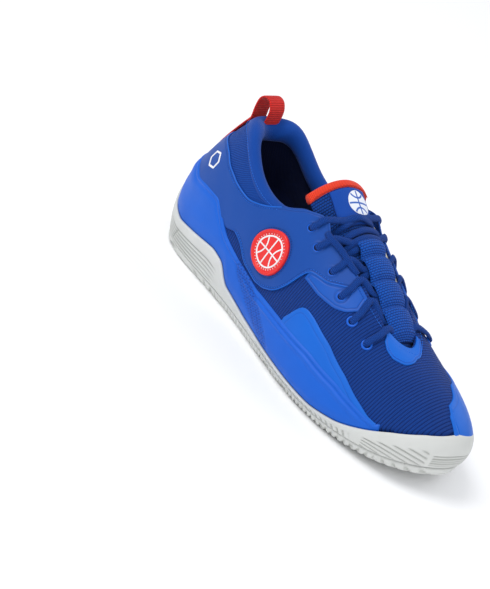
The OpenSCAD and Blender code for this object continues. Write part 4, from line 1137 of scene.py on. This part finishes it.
def make_webbing():
    x, h, run = webbing_route()
    s = 2 * clustered(40, 0.5) - 1
    half = 12.0
    rim = np.sqrt(np.clip((1 - np.abs(s)) * half / 0.7, 0.1, 1))
    slope = np.gradient(h)
    seam = np.zeros_like(h)
    for k in range(2, len(h) - 2):
        if h[k] == h[max(0, k - 14):k + 14].min() and h[k] < 4.6:
            seam += np.exp(-((run - run[k]) / 0.5) ** 2)
    thick = 1.1 * rim[None] - 0.35 * np.clip(seam, 0, 1)[:, None]
    sag = -0.8 * np.abs(s) ** 3 * (h / 6)[:, None]
    top = tongue_at(x[:, None], s[None] * half, h[:, None] + thick + sag)
    under = tongue_at(x[:, None], s[None] * half, h[:, None] + sag)
    ahead = unit(np.gradient(top, axis=0))
    lift = unit(np.cross(ahead, np.array([0, 1.0, 0])))
    top = under - lift * thick[..., None] * np.sign(lift[..., 2:3] + 1e-9) * -1
    rings = np.concatenate([top, under[:, ::-1]], 1)
    n, m = rings.shape[:2]
    cloth = np.stack(np.broadcast_arrays(run[:, None], np.concatenate([s, s[::-1]])[None] * half), -1)
    faces = grid_faces(n, m, False, True).tolist() + [list(range(m)),
                                                     [(n - 1) * m + j for j in range(m)][::-1]]
    made = make_mesh("tongue_webbing_band", rings, faces, WEBBING, cloth=cloth,
                     nodes=["tongue_webbing"], slot="webbing")
    return made


make_webbing()

# ---- Laces --------------------------------------------------------------------------------------
# One flat oval lace: a bar across the front pair of eyelets, crossings over the throat edges and
# under the webbing, two cords across the top and a tail tucked down along the throat.
LACE = fabric("lace_braid", (0.0, 0.05, 0.29), (0.0, 0.014, 0.11), (0.95, 1.1), 0.5, 0.0, 0.7, 0.0004)


def flat_cord(route, facing, wide=5.0, tall=LACE_T, n=90):
    """Rings of an oval cord through points, with the direction its flat side faces."""
    p = smooth_path(route, n)
    f = np.stack([np.interp(np.linspace(0, 1, n), np.linspace(0, 1, len(facing)), np.asarray(facing)[:, k])
                  for k in range(3)], -1)
    ahead = unit(np.gradient(p, axis=0))
    side = unit(np.cross(ahead, f))
    lift = np.cross(side, ahead)
    a = np.arange(14) / 14 * 2 * math.pi
    plump = 1 + 0.03 * np.sin(np.arange(n) * 1.3)
    c = np.sign(np.cos(a)) * np.abs(np.cos(a)) ** 0.85
    return p[:, None] + wide / 2 * plump[:, None, None] * side[:, None] * c[:, None] + (
        tall / 2 * lift[:, None] * np.sin(a)[:, None])


def cords(name, runs, material, **kw):
    points, faces, cloth = [], [], []
    for rings in runs:
        start = len(points)
        n, m = rings.shape[:2]
        centre = rings.mean(1)
        run = np.concatenate([[0], np.cumsum(np.linalg.norm(np.diff(centre, axis=0), axis=1))])
        around = np.abs(np.arange(m) - m / 2) * 0.9
        points.extend(rings.reshape(-1, 3))
        cloth.extend(np.stack(np.broadcast_arrays(run[:, None], around[None]), -1).reshape(-1, 2))
        f = grid_faces(n, m, False, True)[:, ::-1]
        normal = np.cross(rings[0, 1] - rings[0, 0], rings[1, 0] - rings[0, 0])
        flip = normal @ (rings[0, 0] - centre[0]) > 0
        f = f if flip else f[:, ::-1]
        ends = [list(range(m)), [(n - 1) * m + j for j in range(m)][::-1]]
        if not flip:
            ends = [e[::-1] for e in ends]
        ends = [e[::-1] for e in ends]
        faces += (f + start).tolist() + [[start + j for j in e] for e in ends]
    return make_mesh(name, points, faces, material, cloth=cloth, **kw)


def lace_runs():
    runs = []
    for k in range(5):
        u0, v0 = EYELETS[k]
        seat = SURFACE[k] + LACE_T / 2 + 0.5
        x, pitch = ROW_X[k], ROW_X[k + 1] - ROW_X[k]
        for side, mid_h in ((1, 3.9), (-1, 1.5)):
            u, y = side * u0, -side
            skip = 0.24 * (EYELETS[k + 1][0] - u0) * side
            rim = 1.0 + (0.05 if k == 0 else 0.0)
            route = [off(u, v0 - 0.004, SURFACE[k] - 1.4), off(u + 0.1 * skip, v0 + 0.006, seat - 1.0),
                     off(u + 0.5 * skip, v0 + 0.4 * (rim - v0), seat - 0.8), off(u + skip, rim - 0.01, seat - 1.2),
                     throat_at(x + 0.42 * pitch, y * 11, 2 + (mid_h - 2) * 0.5),
                     throat_at(x + pitch / 2, 0, mid_h + 0.2),
                     throat_at(x + 0.64 * pitch, -y * 9.5, 2.1), throat_at(x + 0.67 * pitch, -y * 14, 1.2),
                     throat_at(x + 0.7 * pitch, -y * 18, -1.4)]
            n = outward(u, v0)
            runs.append(flat_cord(route, [n, n, n, outward(u, 0.95), TONGUE_UP, TONGUE_UP, TONGUE_UP,
                                          TONGUE_UP, TONGUE_UP]))
    u0, v0 = EYELETS[5]
    half = [(u0, v0 - 0.01, -1.5), (u0, v0 + 0.01, LACE_T / 2 + 0.4), (u0 + 0.3, v0 + 0.5 * (1 - v0), 2.1),
            (u0 + 0.7, 0.99, 1.6)]
    bar = [off(a, b, c) for a, b, c in half] + [throat_at(x, y, h) for x, y, h in ((209.5, -6, 2.6), (209, 0, 2.8), (209.5, 6, 2.6))] + [
        off(-a, b, c) for a, b, c in half[::-1]]
    facing = [outward(a, min(b, 0.97)) for a, b, c in half] + [TONGUE_UP] * 3 + [
        outward(-a, min(b, 0.97)) for a, b, c in half[::-1]]
    runs.append(flat_cord(bar, facing, n=120))
    return runs


def top_bars():
    """Two cords side by side across the top, one of them turned down over the inner edge."""
    runs = []
    for x, reach, h in ((142.2, 17, 3.2), (147.2, 15, 3.6)):
        ys = np.array([-21, -15, -8, 0, 8, 14, reach + 2])
        hs = np.array([0.2, h - 0.5, h, h + 0.3, h, h - 0.4, 0.6 if reach < 17 else 1.6])
        xs = x + np.array([2.2, 0.8, 0, -0.3, -0.2, 0.2, 1.2])
        runs.append(flat_cord([throat_at(a, b, c) for a, b, c in zip(xs, ys, hs)], [TONGUE_UP] * 7, 4.6,
                              2.8, 80))
    u, v = 5.95, 0.975
    tail = [off(u + a, v + b, c) for a, b, c in ((-0.35, 0.01, 1.2), (-0.1, 0.0, 3.4), (0.35, 0.0, 3.0),
                                                 (0.85, 0.0, 2.2), (1.2, 0.01, 0.4))]
    runs.append(flat_cord(tail, [outward(u + a, 0.96) for a in (-0.35, -0.1, 0.35, 0.85, 1.2)], 4.4, 2.5, 60))
    return runs


cords("lace_runs", lace_runs() + top_bars(), LACE, nodes=["lace"], slot="lace")

# ---- Ankle badge --------------------------------------------------------------------------------
# A moulded rubber disc is sewn and glued to the outer quarter. It has a raised rim and a plain
# white ball drawn in raised lines.
BADGE_RED = moulded("badge_rubber", (0.80, 0.02, 0.018), (0.45, 0.008, 0.008), 0.38, 2600.0, 0.00002, 0.15)
BADGE_WHITE = moulded("badge_print", (0.86, 0.86, 0.86), (0.6, 0.6, 0.6), 0.45, 2600.0, 0.00001)
BADGE_AT, BADGE_R, BADGE_SEAT = (4.77, 0.67), 15.5, 1.2


def spot(at, a, b):
    """Station and height that lie a along and b up from a place, in millimetres."""
    su, sv = across(*at)
    up = unit(sv)
    along = np.cross(up, outward(*at))
    du = a / (su @ along)
    return at[0] + du, at[1] + (b - du * (su @ up)) / np.linalg.norm(sv)


def disc_on_form(name, at, rings, material, sides=96, **kw):
    """Turned disc laid on the form: rings of radius and height from the middle out and back."""
    a = np.arange(sides) / sides * 2 * math.pi
    points = []
    for r, h in rings:
        u, v = spot(at, r * np.cos(a), r * np.sin(a))
        points.append(off(u, v, h))
    points = np.array(points)
    n, m = points.shape[:2]
    faces = grid_faces(n, m, False, True).tolist() + [list(range(m))[::-1],
                                                      [(n - 1) * m + j for j in range(m)]]
    return make_mesh(name, points, faces, material, **kw)


s = BADGE_SEAT
badge_rings = [(0.3, s + 1.45), (4, s + 1.45), (8, s + 1.45), (12.4, s + 1.45), (12.8, s + 1.5), (13.1, s + 1.9),
               (13.4, s + 2.3), (13.9, s + 2.5), (14.6, s + 2.5), (15.2, s + 2.3), (15.5, s + 1.9),
               (15.6, s + 1.2), (15.6, s - 0.4), (12, s - 0.4), (0.3, s - 0.4)]
disc_on_form("badge_moulding", BADGE_AT, badge_rings, BADGE_RED, nodes=["badge_disc"], slot="badge_rubber")


def raised_line(points, lift, wide, tall, closed=False):
    """Ring of sections of a raised line through points given in millimetres from the badge centre."""
    points = np.asarray(points, float)
    u, v = spot(BADGE_AT, points[:, 0], points[:, 1])
    p, n = off(u, v, lift), outward(u, v)
    if closed:
        ahead = unit(np.roll(p, -1, 0) - np.roll(p, 1, 0))
    else:
        ahead = unit(np.gradient(p, axis=0))
    side = np.cross(ahead, n) * wide / 2
    up = n * tall
    return np.stack([p - side - up, p - side * 0.95 + up * 0.6, p - side * 0.6 + up,
                     p + side * 0.6 + up, p + side * 0.95 + up * 0.6, p + side - up], 1)


def badge_ball():
    t = np.linspace(0, 2 * math.pi, 96, endpoint=False)
    lift, r = BADGE_SEAT + 1.45, 10.6
    rings = [(raised_line(np.stack([r * np.cos(t), r * np.sin(t)], -1), lift, 1.2, 0.4, True), True)]
    w = np.linspace(-1, 1, 40)
    for a in (0.0, math.pi / 2):
        rings.append((raised_line(np.stack([w * (r - 0.4) * math.cos(a), w * (r - 0.4) * math.sin(a)], -1),
                                  lift, 1.0, 0.38), False))
    for s in (1, -1):
        rings.append((raised_line(np.stack([s * (4.3 + 3.0 * w ** 2), w * r * 0.7], -1), lift, 1.0, 0.38),
                      False))
    for k in range(36):
        a = (k + 0.5) / 36 * 2 * math.pi
        inner = 11.75
        q = np.linspace(inner, 12.5, 3)
        rings.append((raised_line(np.stack([q * math.cos(a), q * math.sin(a)], -1), lift, 0.45, 0.25), False))
    points, faces = [], []
    for ring, closed in rings:
        start = len(points)
        n, m = ring.shape[:2]
        points.extend(ring.reshape(-1, 3))
        faces += (grid_faces(n, m, closed, True)[:, ::-1] + start).tolist()
        if not closed:
            faces += [[start + j for j in range(m)], [start + (n - 1) * m + j for j in range(m)][::-1]]
    return make_mesh("badge_ball_lines", points, faces, BADGE_WHITE, nodes=["badge_lines"],
                     slot="badge_print")


badge_ball()
a = np.linspace(0, 2 * math.pi, 140)
ring_u, ring_v = spot(BADGE_AT, 17.0 * np.cos(a), 17.0 * np.sin(a))
stitches("badge_stitch_ring", np.stack([ring_u, ring_v], -1), 1.16, moulded(
    "badge_thread", (0.0, 0.02, 0.14), (0.0, 0.01, 0.08), 0.7, 2400.0), pitch=1.9, width=0.32)

# ---- Heel emblem --------------------------------------------------------------------------------
# A plain white hexagon is welded to the heel.
EMBLEM_AT = (1.75, 0.66)
BADGE_AT = EMBLEM_AT
corners = [6.2 * np.array([math.cos(math.radians(60 * k + 30)), math.sin(math.radians(60 * k + 30))])
           for k in range(6)]
outline = np.concatenate([np.linspace(corners[k], corners[(k + 1) % 6], 12, endpoint=False)
                          for k in range(6)])
ring = raised_line(outline, 1.2, 1.5, 0.35, True)
make_mesh("heel_emblem_film", ring, grid_faces(*ring.shape[:2], True, True)[:, ::-1].tolist(), BADGE_WHITE,
          nodes=["heel_emblem"], slot="badge_print")

# ---- Pull tab -----------------------------------------------------------------------------------
# Red webbing is sewn down the back of the heel and stands up as a loop that bends at its root.
PULL = fabric("pull_webbing", (0.72, 0.022, 0.016), (0.34, 0.006, 0.005), (1.5, 1.2), 0.5, 0.0, 0.6, 0.0006)
TAB_W, TAB_T, LOOP_H = 14.0, 1.6, 18.0
STRIP_LIFT = 0.7 + 0.8 + 0.3 + TAB_T / 2 + 0.2


def ribbon(name, route, material, n=90, wide=TAB_W, thick=TAB_T, **kw):
    p = smooth_path(route, n)
    ahead = unit(np.gradient(p, axis=0))
    out = np.stack([-ahead[:, 2], 0 * ahead[:, 0], ahead[:, 0]], -1)
    a = np.linspace(0, 2 * math.pi, 36, endpoint=False)
    y = np.sign(np.cos(a)) * np.abs(np.cos(a)) ** 0.25 * wide / 2
    h = np.sign(np.sin(a)) * np.abs(np.sin(a)) ** 0.5 * thick / 2
    rings = p[:, None] + out[:, None] * h[:, None] + np.array([0, 1.0, 0]) * y[:, None]
    run = np.concatenate([[0], np.cumsum(np.linalg.norm(np.diff(p, axis=0), axis=1))])
    cloth = np.stack(np.broadcast_arrays(run[:, None], y[None]), -1)
    m = len(a)
    return make_mesh(name, rings, grid_faces(n, m, False, True)[:, ::-1].tolist() + [
        list(range(m)), [(n - 1) * m + j for j in range(m)][::-1]], material, cloth=cloth, **kw)


ribbon("pull_strip_webbing", [off(0, v, STRIP_LIFT - 0.5) for v in np.linspace(0.6, 0.965, 9)], PULL,
       nodes=["pull_strip"], slot="pull_webbing")
root = off(0, 0.967, STRIP_LIFT)
x, z = root[0], root[2]
loop = ribbon("pull_loop_webbing", [root - (1.2, 0, 5), root - (0.2, 0, 1), (x - 1.2, root[1], z + LOOP_H * 0.45),
              (x - 0.6, root[1], z + LOOP_H * 0.8), (x + 3, root[1], z + LOOP_H),
              (x + 8, root[1], z + LOOP_H * 0.98), (x + 11.5, root[1], z + LOOP_H * 0.75),
              (x + 12.5, root[1], z + 8), (x + 12.2, root[1], z + 2)], PULL, n=140, nodes=["pull_loop"],
              slot="pull_webbing", body=None)
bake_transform(loop)

# ---- Studio -------------------------------------------------------------------------------------
# Pale floor, soft light from the upper left and the front, and the camera.
bpy.ops.mesh.primitive_plane_add(size=8, location=(0, 0, 0))
floor = bpy.context.object
floor.name = "studio_floor"
material, tree, shader = blank("studio_floor")
shader.inputs["Base Color"].default_value = (1.0, 1.0, 1.0, 1)
shader.inputs["Roughness"].default_value = 0.9
floor.data.materials.append(material)

for name, place, power, size in (("key", (-0.6, -0.7, 1.5), 15, 1.0), ("fill", (1.2, -0.9, 0.9), 7, 1.4),
                                 ("back", (0.3, 1.3, 1.1), 5, 1.2)):
    light = bpy.data.lights.new(name, "AREA")
    light.energy, light.size = power, size
    lamp = bpy.data.objects.new(name, light)
    lamp.location = place
    lamp.rotation_euler = (Vector((0, 0, 0.04)) - lamp.location).to_track_quat("-Z", "Y").to_euler()
    scene.collection.objects.link(lamp)
world = bpy.data.worlds.new("studio")
scene.world = world
world.use_nodes = True
world.node_tree.nodes["Background"].inputs["Color"].default_value = (0.92, 0.94, 1.0, 1)
world.node_tree.nodes["Background"].inputs["Strength"].default_value = 0.62
scene.view_settings.view_transform = "Standard"

lens = bpy.data.cameras.new("view")
lens.lens, lens.sensor_width = 162.4, 36
camera = bpy.data.objects.new("view", lens)
scene.collection.objects.link(camera)
right, down, ahead = (0.57436, 0.70246, 0.42031), (0.62107, -0.03945, -0.78276), (-0.53328, 0.71063, -0.45894)
turn = Matrix((Vector(right), -Vector(down), -Vector(ahead))).transposed().to_4x4()
camera.matrix_world = Matrix.Translation((0.91245, -1.30097, 0.83834)) @ turn
scene.camera = camera
